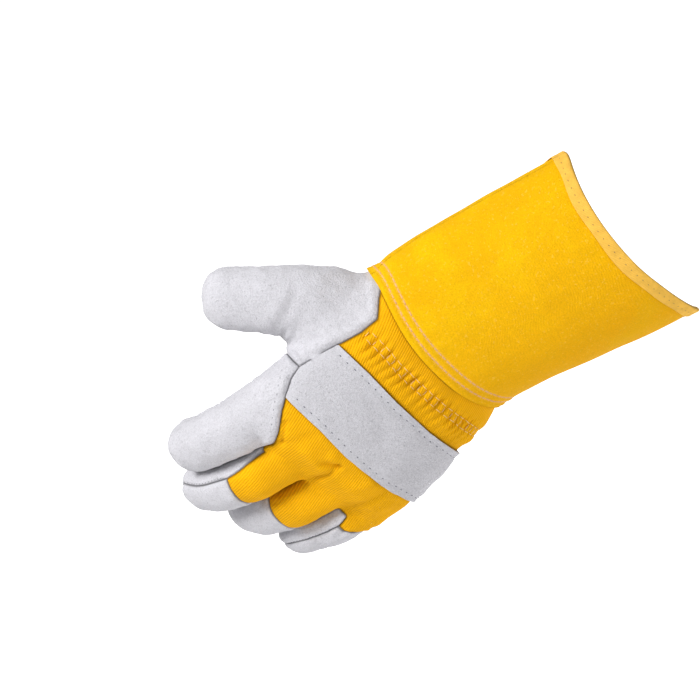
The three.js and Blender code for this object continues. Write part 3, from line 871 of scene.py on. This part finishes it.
def thread(name, colour):
    """Sewing thread: fluff that turns it light and dark along each stitch."""
    surface = Surface(name, 0.7, specular=0.3)
    fluff = surface.noise(surface.place(), 0.4, 2, 0.6)
    tone = fluff.step(0.3, 0.8).mix(scaled(colour, 0.7), scaled(colour, 1.1))
    return surface.finish(tone, fluff, 0.1)


def strap_at(hand, settings, z):
    """How far to the fingers the strap's middle line lies, and its half width, across it."""
    across = z / (hand.width / 2)
    middle, narrow = (np.interp(across, STRAP[:, 0], STRAP[:, i]) for i in (1, 2))
    return middle * hand.palm, mm(settings.strap_width) / 2 * narrow


class Panels:
    """The glove's skin cut into its panels, with what stands out on each."""

    def __init__(self, hand, settings):
        self.hand = hand
        self.settings = settings
        points, triangles = hand.skin()
        points, triangles, _ = clip(points, triangles, hand.lap - points[:, 0], [])
        self.points = points
        self.triangles = triangles
        self.normals = hand.normals(points)
        line = around(hand, self.on_elastic, 2, 178, 400)
        steps = np.linalg.norm(np.diff(line, axis=0), axis=1)
        self.elastic = line
        self.elastic_turn = self.turn(line)
        self.elastic_run = np.concatenate([[0], np.cumsum(steps)])
        self.spots = {name: hand.on_digit(name, points) for name in DIGITS}
        self.own = self.own_fingers()
        self.seam = (points[:, 2] - hand.seam_at(points[:, 0])) * 0.85
        self.regions = self.cut()
        self.weave = self.laid_flat()
        self.strap, self.strap_edge = self.under_strap()

    @staticmethod
    def on_elastic(points):
        return np.interp(points[:, 2], *ELASTIC.T)

    def turn(self, points):
        """Angle of a place round the hand: 0 on the thumb side, a quarter turn at the back."""
        _, _, side, height, _ = self.hand.section(points[:, 0])
        return np.arctan2(height - points[:, 1], points[:, 2] - side)

    def pucker_turn(self, points):
        """Phase of the puckers: 2 pi for each pitch along the elastic, with a little wander."""
        run = np.interp(self.turn(points), self.elastic_turn, self.elastic_run)
        return 2 * np.pi * run / PUCKER_PITCH + 0.7 * waves(points, 22, 3)

    def own_fingers(self):
        """How far each place lies inside each finger's own share: half the lead over the rest."""
        fields = {name: self.spots[name][3] for name in FINGERS}
        own = {}
        for name in FINGERS:
            rest = least(*(fields[other] for other in FINGERS if other != name))
            own[name] = (rest - fields[name]) / 2
        return own

    def cut(self):
        """Signed distances from each panel's seams, positive inside it, all over the skin.

        Leather goes before cotton, backs go before fronts, and the palm is what is left.
        """
        x = self.points[:, 0]
        thumb, index = self.thumb_back(), self.index_back()
        leather = most(thumb, index)
        cotton, caps = self.cotton_and_caps()
        cotton = least(cotton, -leather)
        caps = {f"{name}_tip": least(cap, -leather) for name, cap in caps.items()}
        backs = most(leather, cotton, *caps.values())
        fronts = {f"{name}_front": least(self.own[name], FRONT_SEAM - x, -backs)
                  for name in ("middle", "ring")}
        return {"thumb_back": thumb, "index_back": least(index, -thumb), "back_panel": cotton,
                **caps, **fronts, "palm": -most(backs, *fronts.values())}

    def thumb_back(self):
        """The wing between the seam, its end and the palm, joined with the back of the thumb."""
        wing_low, half_thumb = 14, 23
        x, y, _ = self.points.T
        s, a, h, _ = self.spots["thumb"]
        wing = least(self.seam, x - WING_END, wing_low - y)
        return most(wing, least(h + 2, half_thumb - np.abs(a), s))

    def index_back(self):
        """From the seam, and further out from the middle finger, down to the finger's side.

        The lower seam passes from a height seen along Y to one measured on the finger.
        """
        hand_low = 5
        x, y, _ = self.points.T
        s, _, h, _ = self.spots["index"]
        side = self.seam + (self.own["index"] - self.seam) * smooth((-x - 84) / 12)
        finger_low = 9 - 4.5 * smooth((s - 16) / 24)
        under = hand_low - y + (h + finger_low - hand_low + y) * smooth((s - 2) / 16)
        return least(side, under, WING_END - x)

    def above_seam(self, name):
        """Height above a finger's side seams, which differ from one side to the other."""
        _, a, h, _ = self.spots[name]
        far, near = SEAM_HEIGHTS[name]
        return h - far - (near - far) * smooth((a + 4) / 8)

    def cotton_and_caps(self):
        """The cotton's region, before the leather beside it, and those of the fingertips' caps.

        On the hand the cotton ends at a place seen along Y, further to the palm in the crotch
        between the middle and ring fingers. On the fingers it ends at their side seams, and
        reach passes from the one to the other. A cap starts where the cotton's share of a
        finger ends, on a slant of its own.
        """
        x, y, z = self.points.T
        reach = smooth((-x - 80 + 18 * smooth((z - 24) / 8)) / 18)
        heights = {name: self.above_seam(name) for name in FINGERS}
        over = sum(np.where(self.own[name] > 0, heights[name], 0) for name in FINGERS)
        crotch = bell(z - 3 - 0.12 * (x + 85), 9) * smooth((-x - 70) / 8)
        palmward = (1 - reach) * (COTTON_EDGE + 5 * crotch - y)
        cotton = least(palmward + reach * over, x + 94 + 3 * reach)
        caps = {}
        for name in CAPPED:
            s, a, _, _ = self.spots[name]
            slant = {"middle": 0.12 * a, "ring": 0, "little": -0.5 * np.minimum(a + 2, 0)}[name]
            end = DIGITS[name]["cotton"] * self.hand.lines[name]["length"] - s - slant
            seamed = least(heights[name] * reach + palmward, self.own[name],
                           np.interp(s, *CAPS[name].T) - a + 30 * (1 - reach))
            cotton = most(cotton, least(seamed, end))
            caps[name] = least(seamed, -end)
        return cotton, caps

    def laid_flat(self):
        """Where each place lies with the fingers straight: the cloth's own two directions."""
        x, _, z = self.points.T
        flat = x.copy()
        for name in FINGERS:
            s, a, _, _ = self.spots[name]
            lean = np.radians(DIGITS[name]["lean"])
            root = -DIGITS[name]["root"] * self.hand.palm
            straight = root - s * np.cos(lean) + a * np.sin(lean)
            flat = flat + smooth((s - 2) / 20) * (self.own[name] > 0) * (straight - flat)
        return np.stack([flat, z], axis=1)

    def under_strap(self):
        """Distance into the strap, and distance from its two long edges."""
        x, y, z = self.points.T
        middle, half = strap_at(self.hand, self.settings, z)
        edge = half - np.abs(x + middle)
        return least(edge, COTTON_EDGE - y, -self.seam), edge

    def folded(self, folds):
        """Depth of soft folds: bells about the lines between their ends, seen along Y."""
        x, _, z = self.points.T
        depth = 0 * x
        for start, end, deep, half in folds:
            start, end = np.array(start, float), np.array(end, float)
            span = end - start
            share = np.clip(((x - start[0]) * span[0] + (z - start[1]) * span[1])
                            / (span @ span), 0, 1)
            away = np.hypot(x - start[0] - share * span[0], z - start[1] - share * span[1])
            depth = depth + deep * bell(away, half) * (1 - 0.4 * share)
        return depth

    def cotton_relief(self):
        """Height of the cotton: puckers fanned about the wrist's elastic, and soft folds.

        A pucker rises as the root of the squared sine of half its phase, so it is round on top
        and sharp between, and dies out to both sides of the elastic. Under the strap the cotton
        is pressed flat.
        """
        fan_to_hand, fan_to_cuff = 10, 5.5
        x, y, z = self.points.T
        ridge = np.sqrt(0.015 + np.sin(self.pucker_turn(self.points) / 2) ** 2)
        from_tape = x - self.on_elastic(self.points)
        fan = bell(from_tape, np.where(from_tape < 0, fan_to_hand, fan_to_cuff))
        strength = np.clip(0.85 + 0.35 * waves(self.points, 12, 5), 0.35, 1.5)
        strength *= 1 - 0.5 * smooth((-z - 38) / 10)
        lift = mm(self.settings.pucker) * fan * strength * (ridge - 0.6)
        for place, half, height in ELASTIC_BANDS:
            lift += height * bell(np.abs(from_tape) - place, half)
        lift += 0.45 * waves(self.points, 24, 8) - self.folded(COTTON_FOLDS)
        on_back = smooth((6 - y) / 6)
        clear = smooth(-self.strap / 3)
        return lift * on_back * clear - 0.3 * (1 - clear)

    def leather_relief(self):
        """Height of the leather: broad unevenness, palm folds, rolled seams and creases."""
        x, y, z = self.points.T
        lift = 0.35 * waves(self.points, 26, 21) + 0.16 * waves(self.points, 9, 22)
        lift -= self.folded(PALM_FOLDS) * smooth((y - 8) / 6)
        turned = smooth((x + 66) / 6) * smooth((-x - 18) / 6) * 0.9 + 0.5
        lift += turned * bell(self.seam - 2.7, 1.8) * smooth((2 - y) / 4)
        wing_edge = smooth((z - 50) / 4) * smooth((14 - np.abs(y + 4)) / 5)
        lift += 0.9 * bell(x - WING_END - 2.6, 1.5) * wing_edge
        lift += self.thumb_creases()
        for name in DIGITS:
            lift -= self.joint_creases(name)
        return lift

    def thumb_creases(self):
        """A crease across the thumb's root with a roll before it, and ripples in its web."""
        s, a, h, distance = self.spots["thumb"]
        near = smooth((3 - distance) / 3)
        past = (s - 16.6 + 0.35 * a) * 0.94
        crease = bell(a - 4, 12) * (0.7 * bell(past - 4, 4) - 0.6 * bell(past, 2.4))
        web = bell(a + 17, 6) * bell(s - 14, 13)
        ripple = np.sin(2 * np.pi * (s + 0.25 * h) / 5.5)
        return near * (smooth(h / 8) * crease + 0.45 * web * ripple)

    def joint_creases(self, name):
        """Wandering creases across a digit's front at each of its joints."""
        s, _, h, distance = self.spots[name]
        on_front = smooth((3 - distance) / 3) * smooth((-h - 2) / 8)
        depth = 0 * s
        for joint in digit_form(name)["joints"][1:]:
            middle = joint * self.hand.lines[name]["length"]
            for shift, deep in JOINT_CREASES:
                wander = 0.8 * waves(self.points, 15, 31 + int(shift))
                depth += deep * bell(s - middle - shift + wander, 1.5)
        return depth * on_front

    def make(self, name, relief, material, proud):
        """One panel: its part of the skin, raised by its relief, rounded down into its seams."""
        cotton = name == "back_panel"
        keep = self.regions[name]
        columns = [self.normals, keep, relief, self.weave, np.abs(self.strap)]
        points, triangles, columns = clip(self.points, self.triangles, keep, columns)
        points, triangles, columns = largest(points, triangles, columns)
        normals, depth, lift, weave, strap = columns
        depth = np.maximum(depth, 0)
        settle = 1 - np.exp(-depth / (1.6 if cotton else 0.8))
        gathers = 0.38 * np.exp(-depth / 4) * waves(points, 5.5, len(name))
        height = (lift + proud + gathers) * settle - mm(self.settings.groove) * (1 - settle)
        raised = points + normals * height[:, None]
        solid, faces = thicken(raised, normals, triangles, mm(self.settings.wall))
        # On the cotton the distance also runs from the cuff's hem and the strap, so that the drill
        # paints shade under their edges.
        if cotton:
            depth = least(depth, np.maximum(least(self.from_hem(points), strap), 0))
        made = make_mesh(f"{name}_skin", solid, faces, material, uv=np.tile(weave, (2, 1)),
                         seam=np.tile(depth, 2))
        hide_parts(name)
        return made, raised, triangles

    def from_hem(self, points):
        """How far a place lies in front of the cuff's hem, whose scoop follows the wrist."""
        x, _, z = points.T
        side = np.clip(z / (self.hand.wrist[0] / 2 + HEM_EASE), -1, 1)
        scoop = HEM_DIP * (1 - np.abs(side) ** CUFF[0, -1])
        return HEM_START + 0.5 + HEM_SKEW * side - scoop - x


STATE = {}


def stitch_rows(name, rows, material, length, radius, dip=0.2):
    """Stitches, from rows of (points, normals, tangents).

    A stitch is a rounded bar: rings of a circle that shrink to its ends, arched by the dip and
    sunk at both ends into the surface.
    """
    places, normals, tangents = (np.concatenate([row[i] for row in rows]) for i in range(3))
    normals, tangents = normals[:, None, None], tangents[:, None, None]
    sides = 6
    along = np.array([-0.5, -0.42, -0.18, 0.18, 0.42, 0.5])
    thick = np.array([0.25, 0.8, 1.0, 1.0, 0.8, 0.25])[:, None] * radius
    arch = ((1 - (2 * along) ** 2) * dip - dip * 0.5)[:, None]
    ring_on = np.repeat(along[:, None] * length, sides, axis=1)[..., None]
    ring_side = (thick * np.cos(circle(sides)))[..., None]
    ring_up = (thick * np.sin(circle(sides)) + arch)[..., None]
    points = (places[:, None, None] + ring_on * tangents + ring_up * normals
              + ring_side * np.cross(tangents, normals)).reshape(-1, 3)
    count = len(along) * sides
    quads = grid_quads(len(along), sides, loop_columns=True)
    caps = np.array([np.arange(sides)[::-1], count - sides + np.arange(sides)])
    starts = np.arange(len(places))[:, None, None] * count
    faces = [(starts + quads).reshape(-1, 4), (starts + caps).reshape(-1, sides)]
    return make_mesh(name, points, faces, material)


def resample(points, pitch, seed):
    """Points a pitch apart along a line, each moved a little by a seeded jitter."""
    jitter = 0.15
    lengths = np.concatenate([[0], np.cumsum(np.linalg.norm(np.diff(points, axis=0), axis=1))])
    at = np.arange(pitch / 2, lengths[-1], pitch)
    at = at + np.random.default_rng(seed).uniform(-jitter, jitter, len(at))
    return np.stack([np.interp(at, lengths, points[:, i]) for i in range(3)], axis=1)


def row_on(tree, centres, way=None):
    """A row of stitches settled on a surface: places, normals and the stitches' directions.

    The direction is the way along the row, unless another is given, laid flat on the surface.
    """
    hits = [tree.find_nearest(Vector(point)) for point in centres]
    places, normals = (np.array([hit[i] for hit in hits]) for i in (0, 1))
    way = np.gradient(places, axis=0) if way is None else way
    way = way - (way * normals).sum(axis=1)[:, None] * normals
    return places, normals, way / np.maximum(np.linalg.norm(way, axis=1), 1e-6)[:, None]


def around(hand, x_of, start, end, count=260):
    """A line round the hand: rays from its middle at turns from start to end meet the skin.

    x_of gives the place along the hand from across and out. The reach along each ray grows by
    the field's distance until it rests on the surface.
    """
    turn = np.radians(np.linspace(start, end, count))
    way = np.stack([0 * turn, -np.sin(turn), np.cos(turn)], axis=1)
    x = np.full(count, -30.0)
    reach = np.full(count, 20.0)
    for _ in range(60):
        _, _, side, height, _ = hand.section(x)
        middle = np.stack([x, height, side], axis=1)
        points = middle + way * reach[:, None]
        reach = reach - 0.7 * hand.distance(points)
        x = x_of(points)
    return points


def on_back(hand, name, s, a):
    """Places on the back of a digit: from above its middle line, down by the field's distance."""
    line = hand.lines[name]
    at = [np.interp(s, line["s"], line["places"][:, i]) for i in range(3)]
    back = np.stack([np.interp(s, line["s"][1:], line["back"][:, i]) for i in range(3)], axis=1)
    points = np.stack(at, axis=1) + a[:, None] * line["across"] + 20 * back
    for _ in range(40):
        points = points - 0.7 * hand.distance(points)[:, None] * back
    return points


def from_behind(hand, x, z):
    """Places on the back of the hand under the given x and z: down by the field's distance."""
    points = np.stack([x, np.full(len(x), -33.0), z], axis=1)
    for _ in range(60):
        points[:, 1] += 0.6 * hand.distance(points)
    return points


class GloveBuildForm(bpy.types.Operator):
    """Works out the glove's outer form, cuts it into panels and mixes the materials"""
    bl_idname = "glove.build_form"
    bl_label = "Work out the form"

    def execute(self, context):
        scene = context.scene
        panels, cuff = scene.glove_panels, scene.glove_cuff
        hand = Hand(scene.glove_form)
        STATE["hand"] = hand
        STATE["panels"] = Panels(hand, panels)
        STATE["trees"] = {}
        STATE["suede"] = suede("split_leather", panels.leather)
        STATE["strap"] = suede("strap_leather", scaled(panels.leather, 0.93))
        STATE["drill"] = drill("cotton_drill", panels.cotton)
        STATE["canvas"] = canvas("rubberised_canvas", cuff.canvas)
        STATE["tape"] = tape("binding_tape", cuff.tape)
        for name, colour in THREADS.items():
            STATE[name] = thread(f"{name}_thread", colour)
        return {"FINISHED"}


class GloveBuildPanels(bpy.types.Operator):
    """Builds the leather and cotton panels of the hand"""
    bl_idname = "glove.build_panels"
    bl_label = "Build the panels"

    def execute(self, context):
        panels = STATE["panels"]
        leather = (panels.leather_relief(), "suede", mm(context.scene.glove_panels.proud))
        cotton = (panels.cotton_relief(), "drill", 0.1)
        for name in panels.regions:
            relief, slot, proud = cotton if name == "back_panel" else leather
            made, points, triangles = panels.make(name, relief, STATE[slot], proud)
            STATE["trees"][name] = tree_of(points, triangles)
        return {"FINISHED"}


class GloveBuildStrap(bpy.types.Operator):
    """Builds the knuckle strap, laid on the back with raw edges and quilted by its stitches"""
    bl_idname = "glove.build_strap"
    bl_label = "Build the strap"

    def execute(self, context):
        wall, over_cotton = 1.5, 1.9
        panels = STATE["panels"]
        columns = [panels.normals, panels.strap_edge, -panels.seam, panels.weave]
        points, triangles, columns = clip(
            panels.points, panels.triangles, panels.strap, columns)
        points, triangles, (normals, edge, end, weave) = largest(points, triangles, columns)
        from_row = edge - STRAP_ROW
        lift = over_cotton + 0.22 * waves(points, 14, 41) + 0.3 * smooth(from_row / 4)
        dent = 0.4 * bell(from_row, 0.9)
        ruffle = 0.22 * np.exp(-edge / 1.8) * (0.3 + waves(points, 11, 42))
        tuck = 1.8 * np.exp(-np.maximum(end, 0) / 2.4)
        raised = points + normals * (lift - dent + ruffle - tuck)[:, None]
        solid, faces = thicken(raised, normals, triangles, wall)
        # Painted shade: the suede darkens where the strap's end tucks under the seam; its long edges
        # lie too far in to darken.
        seam = least(edge + 1.9, end + 0.4)
        made = make_mesh("knuckle_strap_leather", solid, faces, STATE["strap"],
                         uv=np.tile(weave, (2, 1)), seam=np.tile(seam, 2), smooth_angle=55)
        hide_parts("knuckle_strap")
        STATE["trees"]["strap"] = tree_of(raised, triangles)
        return {"FINISHED"}


def cuff_point(hand, cuff, at, turn, out):
    """The cuff's middle surface, or a place the given distance out of it.

    Superellipse rings grow from the hem's size to the mouth's, shift to the little-finger side,
    turn about Y, dip where the ring faces the back or the palm, and start on a scooped hem. The
    dip is the softened size of a sine, fuller at the nose, the ring's little-finger side.
    """
    grow, deepen, shift, rise, square = table_at(CUFF, at, CUFF_EASE)
    length = mm(cuff.length)
    wide = (hand.wrist[0] / 2 + HEM_EASE) * (1 - grow) + mm(cuff.mouth_width) / 2 * grow + out
    deep = (hand.wrist[1] / 2 + HEM_EASE) * (1 - deepen) + mm(cuff.mouth_depth) / 2 * deepen + out
    across, back = (np.sign(way) * np.abs(way) ** (2 / square)
                    for way in (np.cos(turn), np.sin(turn)))
    nose = smooth(-across * 2 + 0.5)
    seen = np.sin(turn + 0.1 + 0.12 * nose)
    scoop = (np.sqrt(seen ** 2 + 0.03) - 0.173) / 0.84
    scoop = scoop ** np.where(seen < 0, 1 - 0.45 * nose, 1.1)
    far_side = 1 + 0.5 * smooth(-back * 4)
    dip = deepen * MOUTH_DIP * far_side * scoop * (1 + 0.27 * np.cos(turn))
    hem = HEM_SKEW * across - HEM_DIP * np.maximum(np.sin(turn), 0) ** 2
    tilt = np.radians(MOUTH_TURN) * deepen
    x = HEM_START + (1 - deepen) * hem + at * length - dip + wide * across * np.sin(tilt)
    y = -rise * length - deep * back
    z = -shift * length + wide * across * np.cos(tilt)
    return np.stack([x, y, z], axis=-1)


def clear_of(hand, points, gap):
    """Moves points out of the hand until they lie a gap away from it."""
    flat = points.reshape(-1, 3).copy()
    near = (flat[:, 0] < 23) & (flat[:, 0] > -20)
    for _ in range(3):
        some = flat[near]
        short = np.maximum(gap - hand.distance(some), 0)
        flat[near] = some + short[:, None] * hand.normals(some)
    return flat.reshape(points.shape)


class GloveBuildCuff(bpy.types.Operator):
    """Builds the gauntlet cuff and the binding folded over its mouth"""
    bl_idname = "glove.build_cuff"
    bl_label = "Build the cuff"

    def execute(self, context):
        hand = STATE["hand"]
        cuff = context.scene.glove_cuff
        rings, turns = 130, 300
        share = np.linspace(0, 1, rings)
        at, turn = np.meshgrid(0.35 * share ** 2 + 0.65 * share, circle(turns), indexing="ij")
        outer, inner = (self.sheet(hand, cuff, at, turn, side) for side in (1, -1))
        rows = at * mm(cuff.length)
        laid = np.stack([rows, turn * 55], axis=-1)
        made = make_mesh(
            "gauntlet_canvas", np.concatenate([outer, inner[::-1]]).reshape(-1, 3),
            [grid_quads(rings * 2, turns, loop_rows=True, loop_columns=True)[:, ::-1]],
            STATE["canvas"], uv=np.concatenate([laid, laid[::-1]]).reshape(-1, 2))
        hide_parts("gauntlet_cuff")
        STATE["hem"] = [outer[np.argmin(np.abs(rows[:, 0] - row))] for row in HEM_ROWS]
        STATE["trees"]["cuff"] = tree_of(
            outer, grid_quads(rings, turns, loop_columns=True)[:, ::-1])
        self.bind(hand, cuff, circle(turns))
        return {"FINISHED"}

    def sheet(self, hand, cuff, at, turn, side):
        """One face of the canvas: half a wall from its middle, with rolls and unevenness.

        The hem's rolls are bells along the cuff, roped by slanting ridges, and the unevenness
        dies out under the binding.
        """
        half_wall, rope_pitch = 0.65, 3.4
        points = cuff_point(hand, cuff, at, turn, side * half_wall)
        away = points - cuff_point(hand, cuff, at, turn, side * half_wall - 1)
        away /= np.linalg.norm(away, axis=-1)[..., None]
        rows = at * mm(cuff.length)

        def uneven(size, seed):
            return waves(points.reshape(-1, 3), size, seed).reshape(at.shape)

        rise = 0.3 * uneven(46, 61) * smooth(at * 5) + 0.22 * uneven(17, 62)
        rise += sum(height * bell(rows - place, half) for place, half, height in HEM_ROLLS)
        rope = np.sin(2 * np.pi * (turn * 53 + 0.9 * rows) / rope_pitch)
        rise += 0.13 * rope * bell(rows - HEM_ROWS[0], 2.2)
        rise += 0.2 * uneven(7, 63) * bell(rows - 6, 5)
        rise *= 1 - smooth((at - 0.93) / 0.05)
        return clear_of(hand, points + away * rise[..., None], 1.25 if side < 0 else 2.55)

    def bind(self, hand, cuff, turn):
        """The binding: a U profile over the edge, carried round the mouth.

        A profile point is how far it lies past the edge and out of the canvas. The tape's long
        edge wanders a little, and its faces swell.
        """
        wide = mm(cuff.binding)
        face = [(-wide, 1.05), (-wide + 0.1, 1.6), (-wide + 0.7, 1.75), (-wide + 3, 1.6),
                (-0.6, 1.75), (0.5, 1.65), (1.1, 1.1), (1.3, 0.3)]
        slot = [(-wide + 3, -1.0), (-0.2, -1.0), (0.3, -0.6)]
        profile = [point for half in (face, slot)
                   for point in (*half, *((past, -out) for past, out in reversed(half)))]
        ones = np.ones(len(turn))
        edge = cuff_point(hand, cuff, ones, turn, 0)
        wander = 0.4 * waves(edge, 24, 71)
        swell = 0.15 * waves(edge, 6, 72)
        strips = []
        for past, out in profile:
            beyond = past + wander * (past < -3)
            before, end = (cuff_point(hand, cuff, ones * at, turn, out) for at in (0.98, 1))
            on = (end - before) / np.linalg.norm(end - before, axis=1)[:, None]
            at = np.minimum(1 + beyond / mm(cuff.length), 1)
            place = cuff_point(hand, cuff, at, turn, out + swell * (abs(out) > 1.5))
            strips.append(place + on * np.maximum(beyond, 0)[:, None])
        points = np.concatenate(strips)
        quads = grid_quads(len(profile), len(turn), loop_rows=True, loop_columns=True)
        along = np.repeat([past for past, _ in profile], len(turn))
        uv = np.stack([along, np.tile(turn * 50, len(profile))], axis=1)
        made = make_mesh("binding_tape", points, [quads], STATE["tape"], uv=uv)
        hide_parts("cuff_binding")
        STATE["trees"]["binding"] = tree_of(points, quads)


class GloveBuildStitches(bpy.types.Operator):
    """Sews the visible stitch rows of the strap, the wrist, the hem, the binding and the tips"""
    bl_idname = "glove.build_stitches"
    bl_label = "Build the stitches"

    def execute(self, context):
        scene = context.scene
        hand, trees = STATE["hand"], STATE["trees"]
        hem = [row_on(trees["cuff"], resample(np.vstack([ring, ring[:1]]), 3.5, seed))
               for ring, seed in zip(STATE["hem"], (5, 6))]
        for name, rows, colour, length, radius, dip, slot in (
                ("strap", self.strap_rows(hand, scene.glove_panels), "grey", 1.1, 0.26, 0.1, "suede"),
                ("seam", self.seam_rows(hand, trees), "grey", 1.1, 0.14, 0.1, "suede"),
                ("gather", self.ladder(STATE["panels"]), "cream", 3.6, 0.21, 0.5, "suede"),
                ("hem", hem, "beige", 2.8, 0.42, 0.2, "binding"),
                ("mouth", self.mouth_row(hand, scene.glove_cuff), "brown", 0.9, 0.2, 0.1, "binding")):
            made = stitch_rows(f"{name}_stitches", rows, STATE[colour], length, radius, dip)
        return {"FINISHED"}

    def strap_rows(self, hand, settings):
        """A row inside each long edge of the strap, as far as the seam on the thumb side."""
        rows = []
        for side, seed in ((1, 1), (-1, 2)):
            def place(points):
                middle, half = strap_at(hand, settings, points[:, 2])
                return -middle - side * (half - STRAP_ROW)

            line = around(hand, place, 20, 178)
            line = line[line[:, 2] < hand.seam_at(line[:, 0]) - 3]
            rows.append(row_on(STATE["trees"]["strap"], resample(line, 5.2, seed)))
        return rows

    def seam_rows(self, hand, trees):
        """Rows in the leather beside the caps of two tips and beside the index finger's seam."""
        rows = []
        for name, front, start, end in (("middle", "middle_front", 58, 96),
                                        ("little", "palm", 37, 76)):
            s = np.linspace(start, end, 40)
            line = on_back(hand, name, s, np.interp(s, *CAPS[name].T) + 0.9)
            rows.append(row_on(trees[front], resample(line, 2.7, 11)))
        x = -np.linspace(0.60, 0.95, 40) * hand.palm
        line = from_behind(hand, x, hand.seam_at(x) + 4.6)
        rows.append(row_on(trees["index_back"], resample(line, 4.4, 12)))
        return rows

    def ladder(self, panels):
        """The elastic's zigzag: a bar in each valley between puckers and stitches at its ends."""
        line = panels.elastic
        phase = panels.pucker_turn(line) / (2 * np.pi)
        rows = []
        for offset, shift in ((0, 0), (GATHER_ROW, 0.5), (-GATHER_ROW, 0.5)):
            at = np.arange(np.ceil(phase.min()) + 1, phase.max() - 1) + shift
            centres = np.stack([np.interp(at, phase, line[:, i]) for i in range(3)], axis=1)
            centres[:, 0] += offset
            centres = centres[centres[:, 2] < panels.hand.seam_at(centres[:, 0]) - 3]
            way = np.gradient(centres, axis=0) if offset else np.array([1.0, 0, 0])
            rows.append(row_on(STATE["trees"]["back_panel"], centres, way))
        return rows

    def mouth_row(self, hand, cuff):
        """One row round the mouth, along the middle of the binding's outer face."""
        turn = np.linspace(0, 2 * np.pi, 400)
        at = np.full(len(turn), 1 - mm(cuff.binding) / 2 / mm(cuff.length))
        line = cuff_point(hand, cuff, at, turn, 2.5)
        return [row_on(STATE["trees"]["binding"], resample(line, 4.8, 7))]


class GloveBuildStage(bpy.types.Operator):
    """Sets the camera, the floor and the lights"""
    bl_idname = "glove.build_stage"
    bl_label = "Set the stage"

    def execute(self, context):
        scene = context.scene
        stage = scene.glove_stage
        self.set_camera(scene, stage)
        self.lay_floor(stage)
        self.hang_lamp("key", (-0.24, -0.56, 2.3), stage.key, 1.0)
        self.hang_lamp("fill", (-0.7, -1.1, 0.35), stage.key * 0.035, 0.9)
        world = bpy.data.worlds.new("studio")
        world.use_nodes = True
        background = world.node_tree.nodes["Background"].inputs
        background["Color"].default_value = (1, 1, 1, 1)
        background["Strength"].default_value = stage.ambient
        scene.world = world
        scene.view_settings.view_transform = "Standard"
        return {"FINISHED"}

    def set_camera(self, scene, stage):
        """The photo's view: the camera looks down at the back, rolled so the glove lies aslant."""
        rise, roll = np.radians(25), np.radians(49)
        target = np.array([0.012, 0, 0])
        towards = np.array([0, -np.cos(rise), np.sin(rise)])
        level = np.array([1.0, 0, 0])
        upward = np.array([0, np.sin(rise), np.cos(rise)])
        right = np.cos(roll) * level - np.sin(roll) * upward
        up = np.sin(roll) * level + np.cos(roll) * upward
        lens = bpy.data.cameras.new("camera")
        lens.lens = 85
        lens.sensor_width = 36
        lens.shift_x, lens.shift_y = (shift / PHOTO_SIDE for shift in PHOTO_SHIFT)
        lens.clip_start = 0.01
        axes = Matrix(np.stack([right, up, towards], axis=1).tolist()).to_4x4()
        place = Matrix.Translation(target + towards * stage.distance)
        scene.camera = add_object("camera", lens, place @ axes)

    def lay_floor(self, stage):
        """White paper far below, which glows more the further it lies from the glove."""
        far = 40.0
        corners = [(x * far, y * far, stage.floor) for x, y in ((-1, -1), (1, -1), (1, 1), (-1, 1))]
        mesh = bpy.data.meshes.new("floor")
        mesh.from_pydata(corners, [], [(0, 1, 2, 3)])
        paper = Surface("white_paper", 0.95, specular=0.1)
        paper.shader.inputs["Base Color"].default_value = (0.86, 0.86, 0.86, 1)
        paper.shader.inputs["Emission Strength"].default_value = stage.glow
        place = add_node(paper.tree, "TexCoord", output="Object")
        away = add_node(paper.tree, "VectorMath", {0: place}, "Value", operation="LENGTH")
        away.step(0.4, 1.5).link(paper.shader.inputs["Emission Color"])
        mesh.materials.append(paper.material)
        add_object("floor", mesh)

    def hang_lamp(self, name, place, power, size):
        """A round lamp at a place, turned to the glove."""
        light = bpy.data.lights.new(name, "AREA")
        light.energy = power
        light.shape = "DISK"
        light.size = size
        aimed = Vector(place).to_track_quat("Z", "Y").to_matrix().to_4x4()
        add_object(name, light, Matrix.Translation(place) @ aimed)


class GlovePanel(bpy.types.Panel):
    """Lists the glove's settings and its steps"""
    bl_idname = "VIEW3D_PT_glove"
    bl_label = "Rigger glove"
    bl_space_type = "VIEW_3D"
    bl_region_type = "UI"
    bl_category = "Glove"

    def draw(self, context):
        for holder, operators in STEPS:
            box = self.layout.box()
            group = getattr(context.scene, holder)
            for key in group.bl_rna.properties.keys():
                if key not in ("rna_type", "name"):
                    box.prop(group, key)
            for operator in operators:
                box.operator(operator.bl_idname)


GROUPS = {
    "glove_form": GloveForm,
    "glove_panels": GlovePanels,
    "glove_cuff": GloveCuff,
    "glove_stage": GloveStage,
}
STEPS = (
    ("glove_form", (GloveBuildForm,)),
    ("glove_panels", (GloveBuildPanels, GloveBuildStrap)),
    ("glove_cuff", (GloveBuildCuff, GloveBuildStitches)),
    ("glove_stage", (GloveBuildStage,)),
)
CLASSES = (
    *GROUPS.values(),
    *(operator for _, operators in STEPS for operator in operators),
    GlovePanel,
)


def register():
    for made in CLASSES:
        bpy.utils.register_class(made)
    for name, group in GROUPS.items():
        setattr(bpy.types.Scene, name, PointerProperty(type=group))


def unregister():
    for name in GROUPS:
        delattr(bpy.types.Scene, name)
    for made in reversed(CLASSES):
        bpy.utils.unregister_class(made)


def main():
    register()
    bpy.ops.glove.build_form()
    bpy.ops.glove.build_panels()
    bpy.ops.glove.build_strap()
    bpy.ops.glove.build_cuff()
    bpy.ops.glove.build_stitches()
    bpy.ops.glove.build_stage()


if __name__ == "__main__":
    main()
